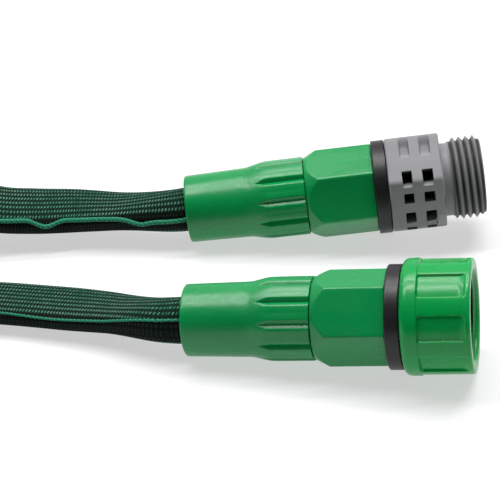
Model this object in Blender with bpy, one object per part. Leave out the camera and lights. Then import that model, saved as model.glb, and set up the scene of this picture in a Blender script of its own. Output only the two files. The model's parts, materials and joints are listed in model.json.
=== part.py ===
"""Soaker hose: a flat woven hose with a threaded male end and a swivelling female end.

Lengths are in millimetres and become metres at MM. Each coupling is drawn along its own
axis, local +X, from the mouth of its tail at x = 0 to its threaded end. An empty on that
axis lays the coupling on the ground, tail down, nose up.
"""

import math

import bmesh
import bpy
from mathutils import Matrix, Vector

MM = 0.001
FIT = 0.3  # clearance between touching neighbours
ROUND = 44  # sides of a large turned piece
SMALL_ROUND = 28  # sides of a small turned piece

# Hose
HOSE_WIDTH = 19.5  # lay-flat width
LINER_WALL = 0.8
JACKET_WALL = 0.8
HOSE_MOUTH_R = 7.0  # the hose is round where it enters a tail
HOSE_LYING_R = 5.0  # and thinner where it lies flat
HOSE_TAPER = 18.0
CORD_STEP = 9.0  # spacing of the points of a hose run

# Barbed stem
STEM_BORE_R = 3.6
STEM_WALL = 1.2
BARB_HEIGHT = 0.6
BARB_COUNT = 3
BARB_PITCH = 5.2
STEM_INSET = 8.0  # from the mouth of the tail to the tip of the stem

# Grip sleeve
SLEEVE_WALL = 1.7
TAIL_LENGTH = 20.5
TAIL_FLARE = 0.4
FLARE_LENGTH = 6.0
GRIP_LENGTH = 12.7
GRIP_R = 12.85
GROOVE_COUNT = 11
GROOVE_WIDTH = 2.6
GROOVE_DEPTH = 1.0

# Collet
COLLET_WALL = 1.1
COLLET_LENGTH = 12.0
COLLET_SLOT = 1.6

# Hex body
PARTING = 0.4
HEX_FLATS = 25.6
HEX_LENGTH = 22.4
HEX_CHAMFER = 5.0
SPIGOT_R = 9.9

# O-ring
O_RING_CORD = 1.9
O_RING_SEAT = 5.4  # depth of its seat in the end of the hex body

# Ring between hex body and end piece
BOSS_R = 7.7
RING_R = 15.5
RING_LENGTH = 3.9

# Male end
BLOCK_FLATS = 30.2
BLOCK_LENGTH = 17.5
POCKET_SIDE = 3.2
POCKET_DEPTH = 4.0
POCKET_ROWS = (1.8, -4.9, -11.3)  # heights above the corner that they are moulded from
POCKET_COLUMNS = (6.1, 12.8)  # from the block's left face
COUNTERSUNK_R = 15.1  # floor of the long shallow pockets
SHALLOW_SPAN = (34.0, 86.0)  # angles that the shallow pockets cover
NECK_LENGTH = 2.4
NECK_R = 11.9
SEAT_DEPTH = 6.8  # how far the stem enters the block
OUTLET_R = 8.2

# Garden hose thread, 3/4-11.5 NH
THREAD_PITCH = 25.4 / 11.5
THREAD_MAJOR_R = 26.99 / 2
THREAD_DEPTH = 1.4
THREAD_TURNS = 4.5
THREAD_RUNOUT = 1.06

# Swivel nut
NUT_R = 17.2
NUT_FLANGE_R = 17.5
NUT_FLANGE = 5.0
NUT_ROUND = 1.6
NUT_LENGTH = 20.8
NUT_RIM = 2.2
THROAT_LENGTH = 3.0
RETAINING_R = 11.7
RETAINING_LENGTH = 2.0
PANEL_COUNT = 8
PANEL_SPAN = 26.4  # degrees
PANEL_DEPTH = 0.7
MOUTH_CHAMFER = 0.8

# Inlet washer and flow restrictor
WASHER_THICK = 3.0
WASHER_BORE_R = 7.5
RESTRICTOR_THICK = 2.0
RESTRICTOR_HOLE_R = 1.2

# Where the couplings lie, at the mouth of the tail, and how they are turned
TAIL_X = -48.0
MALE_Y = 40.7
FEMALE_Y = -23.1
MALE_YAW = -0.8
FEMALE_YAW = -10.3
VIEW_TURN = 33.0  # the side that faces forward and up
MALE_HEX_TURN = VIEW_TURN - 13.0
FEMALE_HEX_TURN = VIEW_TURN + 8.6
NUT_TURN = VIEW_TURN - 13.2
GRIP_TURN = VIEW_TURN - 7.0

# Coil of the rest of the hose
COIL_X = -240.0
COIL_Y = 20.0
COIL_INNER_R = 35.0
COIL_OUTER_R = 104.5
COIL_ROUND = 3.0
TIE_ANGLES = (97.0, 180.0, 263.0)
TIE_WIDTH = 16.0
TIE_THICK = 1.5

# Points of each hose run after it leaves its tail
FEMALE_ROUTE = (
    (-58.0, -20.4, 9.9),
    (-70.5, -13.3, 7.4),
    (-82.0, -8.8, 5.9),
    (-94.5, -5.5, 5.4),
    (-107.0, -3.0, 5.4),
    (-119.0, -2.5, 6.6),
    (-129.0, -4.2, 8.0),
)
MALE_ROUTE = (
    (-58.5, 41.5, 10.1),
    (-73.0, 43.9, 9.3),
    (-86.0, 45.7, 9.0),
    (-99.0, 45.2, 9.8),
    (-111.0, 44.6, 11.4),
    (-122.0, 47.0, 13.8),
    (-130.5, 52.0, 16.5),
)

# Worked out from the sizes above
STEM_R = STEM_BORE_R + STEM_WALL
BARB_R = STEM_R + BARB_HEIGHT
LINER_R = BARB_R + FIT + LINER_WALL
JACKET_R = LINER_R + FIT + JACKET_WALL
COLLET_R = JACKET_R + FIT + COLLET_WALL
SLEEVE_BORE_R = COLLET_R + FIT
TAIL_R = SLEEVE_BORE_R + SLEEVE_WALL
FLARE_END = TAIL_LENGTH + FLARE_LENGTH
SLEEVE_END = FLARE_END + GRIP_LENGTH
HEX_START = SLEEVE_END + PARTING
HEX_END = HEX_START + HEX_LENGTH
RING_START = HEX_END + FIT
RING_END = RING_START + RING_LENGTH
BODY_START = RING_END + FIT
BLOCK_END = BODY_START + BLOCK_LENGTH
THREAD_START = BLOCK_END + NECK_LENGTH
THREAD_END = THREAD_START + THREAD_TURNS * THREAD_PITCH + THREAD_RUNOUT
SPIGOT_START = FLARE_END + FIT
BLOCK_CORNER_R = BLOCK_FLATS / math.sqrt(3)
COIL_FLOOR = TIE_THICK + FIT
COIL_HEIGHT = 2 * HOSE_WIDTH + 2 * FIT
SEAT_END = BODY_START + SEAT_DEPTH


def clear_scene():
    """Remove what the startup scene holds."""
    for obj in list(bpy.data.objects):
        bpy.data.objects.remove(obj, do_unlink=True)


def plastic(name, colour, roughness, metallic=0.0):
    """One Principled BSDF material."""
    material = bpy.data.materials.new(name)
    material.use_nodes = True
    shader = material.node_tree.nodes["Principled BSDF"]
    shader.inputs["Base Color"].default_value = (*colour, 1.0)
    shader.inputs["Roughness"].default_value = roughness
    shader.inputs["Metallic"].default_value = metallic
    material.diffuse_color = (*colour, 1.0)
    return material


def axis_empty(name, x, y, yaw, pitch, height):
    """An empty on a coupling's axis at the mouth of its tail."""
    empty = bpy.data.objects.new(name, None)
    empty.location = (x * MM, y * MM, height * MM)
    empty.rotation_euler = (0.0, -math.radians(pitch), math.radians(yaw))
    bpy.context.scene.collection.objects.link(empty)
    return empty


def finish(name, bm, material, parent=None, turn=0.0, sharp=40.0):
    """Make an object from bm, given in millimetres, turned about its parent's axis."""
    bmesh.ops.transform(bm, matrix=Matrix.Scale(MM, 4), verts=bm.verts)
    bmesh.ops.recalc_face_normals(bm, faces=bm.faces)
    mesh = bpy.data.meshes.new(name)
    bm.to_mesh(mesh)
    bm.free()
    mesh.materials.append(material)
    mesh.shade_smooth()
    mesh.set_sharp_from_angle(angle=math.radians(sharp))
    obj = bpy.data.objects.new(name, mesh)
    obj.parent = parent
    obj.rotation_euler = (-math.radians(turn), 0.0, 0.0)
    bpy.context.scene.collection.objects.link(obj)
    return obj


def turned_mesh(profile, sides=ROUND):
    """A closed outline of (x, radius) points, spun about the X axis."""
    bm = bmesh.new()
    ring = [bm.verts.new((x, 0.0, radius)) for x, radius in profile]
    edges = [bm.edges.new((a, b)) for a, b in zip(ring, ring[1:] + ring[:1])]
    bmesh.ops.spin(
        bm,
        geom=ring + edges,
        axis=(1.0, 0.0, 0.0),
        cent=(0.0, 0.0, 0.0),
        steps=sides,
        angle=2 * math.pi,
        use_duplicate=False,
    )
    bmesh.ops.remove_doubles(bm, verts=bm.verts, dist=1e-4)
    return bm


def tube_mesh(start, end, inner, outer, sides=SMALL_ROUND):
    """A plain sleeve from start to end."""
    profile = [(start, outer), (end, outer), (end, inner), (start, inner)]
    return turned_mesh(profile, sides)


def prism_mesh(start, end, flats, corner_turn=0.0):
    """A hexagonal prism along X, with a corner towards -Y when corner_turn is 0."""
    bm = bmesh.new()
    radius = flats / math.sqrt(3)
    corners = []
    for index in range(6):
        angle = math.radians(corner_turn + 60 * index)
        corners.append(bm.verts.new((start, -radius * math.cos(angle), radius * math.sin(angle))))
    face = bm.faces.new(corners)
    side = bmesh.ops.extrude_face_region(bm, geom=[face])
    moved = [item for item in side["geom"] if isinstance(item, bmesh.types.BMVert)]
    bmesh.ops.translate(bm, vec=(end - start, 0.0, 0.0), verts=moved)
    return bm


def box_into(bm, low, high, turn=0.0):
    """Add a box with these corners to bm, turned about X."""
    size = [high[axis] - low[axis] for axis in range(3)]
    middle = Vector([(high[axis] + low[axis]) / 2 for axis in range(3)])
    matrix = (
        Matrix.Rotation(-math.radians(turn), 4, "X")
        @ Matrix.Translation(middle)
        @ Matrix.Diagonal((*size, 1.0))
    )
    bmesh.ops.create_cube(bm, size=1.0, matrix=matrix)


def combine(obj, cutter, operation):
    """Cut obj with cutter, or keep what they share. The cutter stays as a hidden guide."""
    cutter.hide_render = True
    cutter.display_type = "WIRE"
    modifier = obj.modifiers.new(operation.lower(), "BOOLEAN")
    modifier.object = cutter
    modifier.operation = operation
    modifier.solver = "EXACT"


def grip_sleeve(side, axis, material):
    """Tail, flare and fluted grip in one shell that clamps the hose."""
    neck_r = TAIL_R + TAIL_FLARE
    thread_bore = SPIGOT_R + FIT
    profile = [
        (0.0, TAIL_R - 0.5),
        (0.5, TAIL_R),
        (TAIL_LENGTH, neck_r),
        (TAIL_LENGTH + 0.35 * FLARE_LENGTH, neck_r + 0.42 * (GRIP_R - neck_r)),
        (TAIL_LENGTH + 0.75 * FLARE_LENGTH, neck_r + 0.9 * (GRIP_R - neck_r)),
        (FLARE_END, GRIP_R),
        (SLEEVE_END, GRIP_R),
        (SLEEVE_END, thread_bore),
        (FLARE_END - 2.0, thread_bore),
        (FLARE_END - 4.5, SLEEVE_BORE_R),
        (0.8, SLEEVE_BORE_R),
        (0.0, SLEEVE_BORE_R + 0.5),
    ]
    sleeve = finish(f"{side}_grip_sleeve", turned_mesh(profile), material, axis, GRIP_TURN)
    cutter = bmesh.new()
    half = GROOVE_WIDTH / 2
    outside = 1.5
    widen = half * (GROOVE_DEPTH + outside) / GROOVE_DEPTH
    for index in range(GROOVE_COUNT):
        turn = Matrix.Rotation(2 * math.pi * index / GROOVE_COUNT, 4, "X")
        wedge = [
            cutter.verts.new(turn @ Vector((x, y, -z)))
            for x, y, z in (
                (TAIL_LENGTH + 0.8 * FLARE_LENGTH, -(GRIP_R - GROOVE_DEPTH), 0.0),
                (TAIL_LENGTH + 0.8 * FLARE_LENGTH, -(GRIP_R + outside), widen),
                (TAIL_LENGTH + 0.8 * FLARE_LENGTH, -(GRIP_R + outside), -widen),
            )
        ]
        face = cutter.faces.new(wedge)
        body = bmesh.ops.extrude_face_region(cutter, geom=[face])
        moved = [item for item in body["geom"] if isinstance(item, bmesh.types.BMVert)]
        bmesh.ops.translate(cutter, vec=(GRIP_LENGTH + FLARE_LENGTH, 0.0, 0.0), verts=moved)
    guide = finish(f"{side}_groove_guide", cutter, material, axis, GRIP_TURN)
    combine(sleeve, guide, "DIFFERENCE")


def hex_body(side, axis, turn, material):
    """Hexagonal body: a spigot that the sleeve screws on to, and a seat for the O-ring."""
    bore = STEM_R + FIT
    seat_r = bore + O_RING_CORD + FIT
    corner = HEX_FLATS / math.sqrt(3)
    profile = [
        (SPIGOT_START, SPIGOT_R - 0.6),
        (SPIGOT_START + 0.6, SPIGOT_R),
        (HEX_START, SPIGOT_R),
        (HEX_START, GRIP_R),
        (HEX_START + HEX_CHAMFER, corner + 0.3),
        (HEX_END, corner + 0.3),
        (HEX_END, seat_r),
        (HEX_END - O_RING_SEAT, seat_r),
        (HEX_END - O_RING_SEAT, bore),
        (SPIGOT_START, bore),
    ]
    body = finish(f"{side}_hex_body", turned_mesh(profile), material, axis)
    guide = finish(
        f"{side}_hex_guide",
        prism_mesh(SPIGOT_START - 1.0, HEX_END + 1.0, HEX_FLATS, 30.0),
        material,
        axis,
        turn,
    )
    combine(body, guide, "INTERSECT")


def stem_profile(end, tail_points):
    """A barbed tube from its tip to end, closed by the outer points given last."""
    points = [(STEM_INSET, STEM_R)]
    for index in range(BARB_COUNT):
        crest = STEM_INSET + (index + 0.85) * BARB_PITCH
        points.append((crest, BARB_R))
        points.append((crest + 0.05, STEM_R))
    return points + tail_points + [(end, STEM_BORE_R), (STEM_INSET, STEM_BORE_R)]


def hose_end(side, axis, liner_material, jacket_material, collet_material):
    """The hose's liner and jacket on the barbs, and the split collet round them."""
    start = FIT
    end = SPIGOT_START - FIT
    liner = tube_mesh(start, end, LINER_R - LINER_WALL, LINER_R)
    finish(f"{side}_liner_end", liner, liner_material, axis)
    jacket = tube_mesh(start, end, JACKET_R - JACKET_WALL, JACKET_R)
    finish(f"{side}_jacket_end", jacket, jacket_material, axis)
    collet_start = end - 3.5 - COLLET_LENGTH
    collet = tube_mesh(collet_start, collet_start + COLLET_LENGTH, COLLET_R - COLLET_WALL, COLLET_R)
    ring = finish(f"{side}_collet", collet, collet_material, axis)
    slot = bmesh.new()
    box_into(
        slot,
        (collet_start - 1.0, -COLLET_R - 1.0, -COLLET_SLOT / 2),
        (collet_start + COLLET_LENGTH + 1.0, 0.0, COLLET_SLOT / 2),
        VIEW_TURN,
    )
    combine(ring, finish(f"{side}_slot_guide", slot, collet_material, axis), "DIFFERENCE")


def o_ring(side, axis, material):
    """Round cord ring in the seat at the end of the hex body."""
    radius = O_RING_CORD / 2
    middle_r = STEM_R + FIT + radius
    middle_x = HEX_END - O_RING_SEAT + FIT + radius
    profile = []
    for index in range(10):
        angle = -2 * math.pi * index / 10
        profile.append((middle_x + radius * math.cos(angle), middle_r + radius * math.sin(angle)))
    finish(f"{side}_o_ring", turned_mesh(profile, SMALL_ROUND), material, axis)


def end_ring(name, axis, material):
    """Black ring between the hex body and the end piece."""
    edge = 0.4
    inner = BOSS_R + FIT
    profile = [
        (RING_START, RING_R - edge),
        (RING_START + edge, RING_R),
        (RING_END - edge, RING_R),
        (RING_END, RING_R - edge),
        (RING_END, inner),
        (RING_START, inner),
    ]
    finish(name, turned_mesh(profile), material, axis)


def thread_outline(start, crest_r, root_r, turns):
    """Crests and roots of a thread from start on, as (x, radius) points."""
    flat = 0.12 * THREAD_PITCH
    points = []
    for index in range(int(turns)):
        crest = start + (index + 0.5) * THREAD_PITCH
        points += [
            (crest - 0.42 * THREAD_PITCH, root_r),
            (crest - flat / 2, crest_r),
            (crest + flat / 2, crest_r),
            (crest + 0.42 * THREAD_PITCH, root_r),
        ]
    return points


def male_end(axis, block_material):
    """Block with moulded pockets, neck and garden hose thread, on a boss in the ring."""
    bore = STEM_R + FIT
    root_r = THREAD_MAJOR_R - THREAD_DEPTH
    tip_r = root_r + 0.5
    profile = [
        (RING_START, BOSS_R),
        (BODY_START, BOSS_R),
        (BODY_START, BLOCK_CORNER_R + 0.3),
        (BLOCK_END, BLOCK_CORNER_R + 0.3),
        (BLOCK_END, NECK_R),
        (THREAD_START, NECK_R),
    ]
    profile += thread_outline(THREAD_START, THREAD_MAJOR_R, root_r, THREAD_TURNS)
    profile += [
        (THREAD_END - 0.6, tip_r),
        (THREAD_END, root_r),
        (THREAD_END, OUTLET_R),
        (SEAT_END + 1.8, OUTLET_R),
        (SEAT_END, bore),
        (RING_START, bore),
    ]
    end = finish("male_thread_end", turned_mesh(profile), block_material, axis)
    prism = prism_mesh(RING_START - 1.0, THREAD_END + 1.0, BLOCK_FLATS)
    combine(end, finish("block_guide", prism, block_material, axis, VIEW_TURN), "INTERSECT")
    pockets = bmesh.new()
    half = POCKET_SIDE / 2
    for column in POCKET_COLUMNS:
        left = BODY_START + column - half
        for row in POCKET_ROWS:
            surface = BLOCK_CORNER_R - abs(row) / math.sqrt(3)
            low = (left, -BLOCK_CORNER_R - 1.0, row - half)
            high = (left + POCKET_SIDE, -(surface - POCKET_DEPTH), row + half)
            for turn in (0.0, 180.0):
                box_into(pockets, low, high, turn)
    cut = finish("pocket_guide", pockets, block_material, axis, VIEW_TURN)
    combine(end, cut, "DIFFERENCE")
    for column_index, column in enumerate(POCKET_COLUMNS):
        left = BODY_START + column - half
        for side_index, base in enumerate((0.0, 180.0)):
            guide = shallow_guide(left, base)
            name = f"shallow_guide_{column_index}{side_index}"
            combine(end, finish(name, guide, block_material, axis, VIEW_TURN), "DIFFERENCE")


def shallow_guide(left, base):
    """A curved sector outside COUNTERSUNK_R, which cuts a pocket that fades into the flat."""
    bm = bmesh.new()
    steps = 8
    outer = BLOCK_CORNER_R + 1.0
    first, last = SHALLOW_SPAN
    rim = []
    for radius, order in ((COUNTERSUNK_R, range(steps + 1)), (outer, range(steps, -1, -1))):
        for index in order:
            angle = math.radians(base + first + (last - first) * index / steps)
            rim.append(bm.verts.new((left, -radius * math.cos(angle), radius * math.sin(angle))))
    face = bm.faces.new(rim)
    body = bmesh.ops.extrude_face_region(bm, geom=[face])
    moved = [item for item in body["geom"] if isinstance(item, bmesh.types.BMVert)]
    bmesh.ops.translate(bm, vec=(POCKET_SIDE, 0.0, 0.0), verts=moved)
    return bm


def swivel_end(axis, nut_material, washer_material, restrictor_material):
    """Swivel nut with panels, and the washer and restrictor that sit in it."""
    bore_r = BOSS_R + FIT
    crest_r = THREAD_MAJOR_R - THREAD_DEPTH + 0.25
    root_r = THREAD_MAJOR_R + 0.15
    end = BODY_START + NUT_LENGTH
    flange_end = BODY_START + NUT_FLANGE
    throat_end = BODY_START + THROAT_LENGTH
    washer_start = throat_end + FIT + RETAINING_LENGTH + FIT
    washer_end = washer_start + WASHER_THICK
    thread_start = washer_end + 0.4
    turns = int((end - thread_start) / THREAD_PITCH)
    inside = thread_outline(thread_start, crest_r, root_r, turns)
    profile = [
        (BODY_START, NUT_FLANGE_R - NUT_ROUND),
        (BODY_START + 0.3 * NUT_ROUND, NUT_FLANGE_R - 0.3 * NUT_ROUND),
        (BODY_START + NUT_ROUND, NUT_FLANGE_R),
        (flange_end - 0.4, NUT_FLANGE_R),
        (flange_end, NUT_R),
        (end - 0.7, NUT_R),
        (end, NUT_R - 0.7),
        (end, root_r + MOUTH_CHAMFER),
        (end - MOUTH_CHAMFER, root_r),
    ]
    profile += [point for point in reversed(inside) if point[0] < end - MOUTH_CHAMFER]
    profile += [
        (thread_start, root_r),
        (thread_start, RETAINING_R + FIT),
        (throat_end, RETAINING_R + FIT),
        (throat_end, bore_r),
        (BODY_START, bore_r),
    ]
    nut = finish("swivel_nut", turned_mesh(profile), nut_material, axis, NUT_TURN)
    panels = bmesh.new()
    floor_r = NUT_R - PANEL_DEPTH
    half = floor_r * math.tan(math.radians(PANEL_SPAN / 2))
    for index in range(PANEL_COUNT):
        low = (flange_end, -NUT_R - 3.0, -half)
        high = (end - NUT_RIM, -floor_r * math.cos(math.radians(PANEL_SPAN / 2)), half)
        box_into(panels, low, high, 360 * index / PANEL_COUNT)
    guide = finish("panel_guide", panels, nut_material, axis, NUT_TURN)
    combine(nut, guide, "DIFFERENCE")
    washer = tube_mesh(washer_start, washer_end, WASHER_BORE_R, RETAINING_R)
    finish("inlet_washer", washer, washer_material, axis)
    middle = (washer_start + washer_end) / 2
    restrictor = tube_mesh(
        middle - RESTRICTOR_THICK / 2,
        middle + RESTRICTOR_THICK / 2,
        RESTRICTOR_HOLE_R,
        WASHER_BORE_R - FIT,
    )
    finish("flow_restrictor", restrictor, restrictor_material, axis)


def stems(male_axis, female_axis, material):
    """Both barbed stems. The female one carries the flange that keeps the swivel nut."""
    male_stem_end = SEAT_END - FIT
    profile = stem_profile(male_stem_end, [(male_stem_end, STEM_R)])
    finish("male_barb_stem", turned_mesh(profile, SMALL_ROUND), material, male_axis)
    flange = BODY_START + THROAT_LENGTH + FIT
    flange_end = flange + RETAINING_LENGTH
    shoulder = [
        (RING_START, STEM_R),
        (RING_START, BOSS_R),
        (flange, BOSS_R),
        (flange, RETAINING_R),
        (flange_end, RETAINING_R),
    ]
    profile = stem_profile(flange_end, shoulder)
    finish("female_barb_stem", turned_mesh(profile, SMALL_ROUND), material, female_axis)


def smooth_route(points):
    """A Catmull-Rom curve through the points, sampled about every CORD_STEP."""
    points = [Vector(point) for point in points]
    padded = [2 * points[0] - points[1], *points, 2 * points[-1] - points[-2]]
    route = []
    for before, start, end, after in zip(padded, padded[1:], padded[2:], padded[3:]):
        steps = max(1, round((end - start).length / CORD_STEP))
        for index in range(steps):
            t = index / steps
            route.append(
                0.5
                * (
                    2 * start
                    + (end - before) * t
                    + (2 * before - 5 * start + 4 * end - after) * t**2
                    + (3 * start - before - 3 * end + after) * t**3
                )
            )
    return [*route, points[-1]]


def hose_run(name, axis, route, material):
    """A hose from the mouth of a tail along its route, round at the mouth."""
    mouth = axis.location / MM
    along = axis.rotation_euler.to_matrix() @ Vector((1.0, 0.0, 0.0))
    points = smooth_route([mouth, mouth - 4.0 * along, *route])
    curve = bpy.data.curves.new(name, "CURVE")
    curve.dimensions = "3D"
    curve.bevel_depth = HOSE_LYING_R * MM
    curve.bevel_resolution = 3
    curve.use_fill_caps = True
    spline = curve.splines.new("POLY")
    spline.points.add(len(points) - 1)
    for knot, point in zip(spline.points, points):
        share = min((point - mouth).length / HOSE_TAPER, 1.0)
        knot.co = (*(point * MM), 1.0)
        knot.radius = (HOSE_MOUTH_R + (HOSE_LYING_R - HOSE_MOUTH_R) * share) / HOSE_LYING_R
    curve.materials.append(material)
    obj = bpy.data.objects.new(name, curve)
    bpy.context.scene.collection.objects.link(obj)


def hose_coil(material):
    """The wound hose, as the ring that its turns fill, standing on its ties."""
    low, high = COIL_FLOOR, COIL_FLOOR + COIL_HEIGHT
    profile = [
        (low, COIL_OUTER_R - COIL_ROUND),
        (low + COIL_ROUND, COIL_OUTER_R),
        (high - COIL_ROUND, COIL_OUTER_R),
        (high, COIL_OUTER_R - COIL_ROUND),
        (high, COIL_INNER_R + COIL_ROUND),
        (high - COIL_ROUND, COIL_INNER_R),
        (low + COIL_ROUND, COIL_INNER_R),
        (low, COIL_INNER_R + COIL_ROUND),
    ]
    bm = turned_mesh(profile, ROUND)
    bmesh.ops.rotate(bm, matrix=Matrix.Rotation(-math.pi / 2, 3, "Y"), verts=bm.verts)
    coil = finish("hose_coil", bm, material)
    coil.location = (COIL_X * MM, COIL_Y * MM, 0.0)


def coil_ties(material):
    """Straps round the coil. It stands on them."""
    half = TIE_WIDTH / 2
    near = math.sqrt(COIL_INNER_R**2 - (half + FIT) ** 2) * math.cos(math.pi / ROUND) - FIT
    far = COIL_OUTER_R + FIT
    top = COIL_FLOOR + COIL_HEIGHT + FIT
    for index, angle in enumerate(TIE_ANGLES, 1):
        strap = bmesh.new()
        box_into(
            strap,
            (near - TIE_THICK, -half, 0.0),
            (far + TIE_THICK, half, top + TIE_THICK),
        )
        tie = finish(f"coil_tie_{index}", strap, material)
        space = bmesh.new()
        box_into(
            space,
            (near, -half - 1.0, TIE_THICK),
            (far, half + 1.0, top),
        )
        guide = finish(f"tie_guide_{index}", space, material)
        for obj in (tie, guide):
            obj.location = (COIL_X * MM, COIL_Y * MM, 0.0)
            obj.rotation_euler = (0.0, 0.0, math.radians(angle))
        combine(tie, guide, "DIFFERENCE")


def rest_pitch(wide_r, wide_x):
    """The slope at which a coupling lies on its tail and on its widest edge."""
    return math.degrees(math.atan2(wide_r - TAIL_R, wide_x))


def main():
    clear_scene()
    green = plastic("green_moulding", (0.005, 0.24, 0.055), 0.38)
    nut_green = plastic("green_nut", (0.008, 0.27, 0.06), 0.35)
    grey = plastic("grey_moulding", (0.22, 0.22, 0.23), 0.55)
    black = plastic("black_ring", (0.03, 0.028, 0.032), 0.5)
    white = plastic("natural_plastic", (0.62, 0.62, 0.58), 0.5)
    rubber = plastic("black_rubber", (0.02, 0.02, 0.02), 0.8)
    weave = plastic("woven_jacket", (0.015, 0.03, 0.022), 0.9)
    strap = plastic("tie_strap", (0.02, 0.02, 0.022), 0.9)

    male_pitch = rest_pitch(BLOCK_CORNER_R, BODY_START)
    female_pitch = rest_pitch(NUT_FLANGE_R, BODY_START + NUT_ROUND)
    male_height = TAIL_R * math.cos(math.radians(male_pitch))
    female_height = TAIL_R * math.cos(math.radians(female_pitch))
    male = axis_empty("male_axis", TAIL_X, MALE_Y, MALE_YAW, male_pitch, male_height)
    female = axis_empty("female_axis", TAIL_X, FEMALE_Y, FEMALE_YAW, female_pitch, female_height)
    for side, axis, turn in (("male", male, MALE_HEX_TURN), ("female", female, FEMALE_HEX_TURN)):
        grip_sleeve(side, axis, green)
        hex_body(side, axis, turn, green)
        hose_end(side, axis, rubber, weave, white)
        o_ring(side, axis, rubber)
    stems(male, female, white)
    end_ring("male_seal_ring", male, black)
    end_ring("female_collar_ring", female, black)
    male_end(male, grey)
    swivel_end(female, nut_green, rubber, white)
    hose_run("hose_run_male", male, MALE_ROUTE, weave)
    hose_run("hose_run_female", female, FEMALE_ROUTE, weave)
    hose_coil(weave)
    coil_ties(strap)


main()
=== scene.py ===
"""Looks of a soaker hose: two garden hose couplings on one flat woven hose, the rest of it coiled.

Sizes are in millimetres and become metres at MM. Each coupling is worked out along its own axis,
from the mouth of its tail at x = 0 to its threaded end, and the frame says where that axis lies.
"""

import json
import logging
import math
from collections.abc import Callable
from dataclasses import dataclass
from enum import Enum

import bpy
import numpy as np
from mathutils import Matrix, Vector


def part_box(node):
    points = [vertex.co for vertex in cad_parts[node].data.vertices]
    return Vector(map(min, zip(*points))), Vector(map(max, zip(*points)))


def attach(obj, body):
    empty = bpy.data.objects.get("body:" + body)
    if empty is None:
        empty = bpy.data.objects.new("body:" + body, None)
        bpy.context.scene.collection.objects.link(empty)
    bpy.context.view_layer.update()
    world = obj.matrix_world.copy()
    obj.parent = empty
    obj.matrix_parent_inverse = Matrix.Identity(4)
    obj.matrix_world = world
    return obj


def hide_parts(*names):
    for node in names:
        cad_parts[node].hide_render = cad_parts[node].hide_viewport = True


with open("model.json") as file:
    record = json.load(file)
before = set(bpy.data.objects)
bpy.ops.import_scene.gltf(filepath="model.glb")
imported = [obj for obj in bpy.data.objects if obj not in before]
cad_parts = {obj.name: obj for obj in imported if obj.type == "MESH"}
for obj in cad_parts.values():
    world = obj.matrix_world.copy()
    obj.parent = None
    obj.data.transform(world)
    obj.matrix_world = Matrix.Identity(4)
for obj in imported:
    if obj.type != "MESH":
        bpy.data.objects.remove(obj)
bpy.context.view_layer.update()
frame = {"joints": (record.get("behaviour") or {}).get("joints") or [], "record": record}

MM = 0.001
LOG = logging.getLogger("soaker_hose")
Array = np.ndarray
Triple = tuple[float, float, float]
Row = tuple[float, float, float]  # x, r and corner radius of a point on an outline
Socket = bpy.types.NodeSocket


# ---------------------------------------------------------------- numbers and meshes


def smooth(low: float, high: float, value: Array) -> Array:
    """Rise from 0 at low to 1 at high along 3t^2 - 2t^3."""
    t = np.clip((np.asarray(value, float) - low) / (high - low), 0.0, 1.0)
    return t * t * (3.0 - 2.0 * t)


def ridge(phase: Array) -> Array:
    """A triangle wave: 1 at whole numbers, 0 half way between them."""
    return np.abs(2.0 * (phase - np.floor(phase)) - 1.0)


def wrapped(angle: Array, period: float) -> Array:
    """The angle's distance from the nearest multiple of period, with its sign."""
    return (angle + period / 2) % period - period / 2


def fillet(outline: Array, steps: int = 5) -> Array:
    """Round the corners of a closed outline.

    Each corner P with radius f becomes the quadratic arc (1-t)^2 A + 2t(1-t) P + t^2 B, where A and B
    lie on its two edges at the distance f from P, or at 45% of the shorter edge if that is less.

    Args:
        outline: rows of x, r and corner radius.
        steps: points on each arc, less one.

    Returns:
        Rows of x and r.
    """
    points, radii = outline[:, :2], outline[:, 2]
    before = np.roll(points, 1, axis=0) - points
    after = np.roll(points, -1, axis=0) - points
    length_before = np.linalg.norm(before, axis=1)
    length_after = np.linalg.norm(after, axis=1)
    reach = np.minimum(radii, 0.45 * np.minimum(length_before, length_after))[:, None]
    start = points + before / length_before[:, None] * reach
    end = points + after / length_after[:, None] * reach
    t = np.linspace(0.0, 1.0, steps + 1)[None, :, None]
    arcs = (1 - t) ** 2 * start[:, None] + 2 * t * (1 - t) * points[:, None] + t**2 * end[:, None]
    flat = arcs.reshape(-1, 2)
    moved = np.linalg.norm(flat - np.roll(flat, 1, axis=0), axis=1) > 1e-4
    return flat[moved]


def dense(outline: Array, spacing: float) -> Array:
    """Add points along a closed outline so that none is further than spacing from the next.

    Args:
        outline: rows of x and r.
        spacing: the longest step that is left.

    Returns:
        The outline's own points and those between them, in order.
    """
    closed = np.vstack([outline, outline[:1]])
    gaps = np.linalg.norm(np.diff(closed, axis=0), axis=1)
    along = np.concatenate([[0.0], np.cumsum(gaps)])
    counts = np.maximum(np.ceil(gaps / spacing).astype(int), 1)
    owner = np.repeat(np.arange(len(gaps)), counts)
    first = np.cumsum(counts) - counts
    share = (np.arange(len(owner)) - first[owner]) / counts[owner]
    at = along[owner] + share * gaps[owner]
    return np.column_stack([np.interp(at, along, closed[:, 0]), np.interp(at, along, closed[:, 1])])


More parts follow.
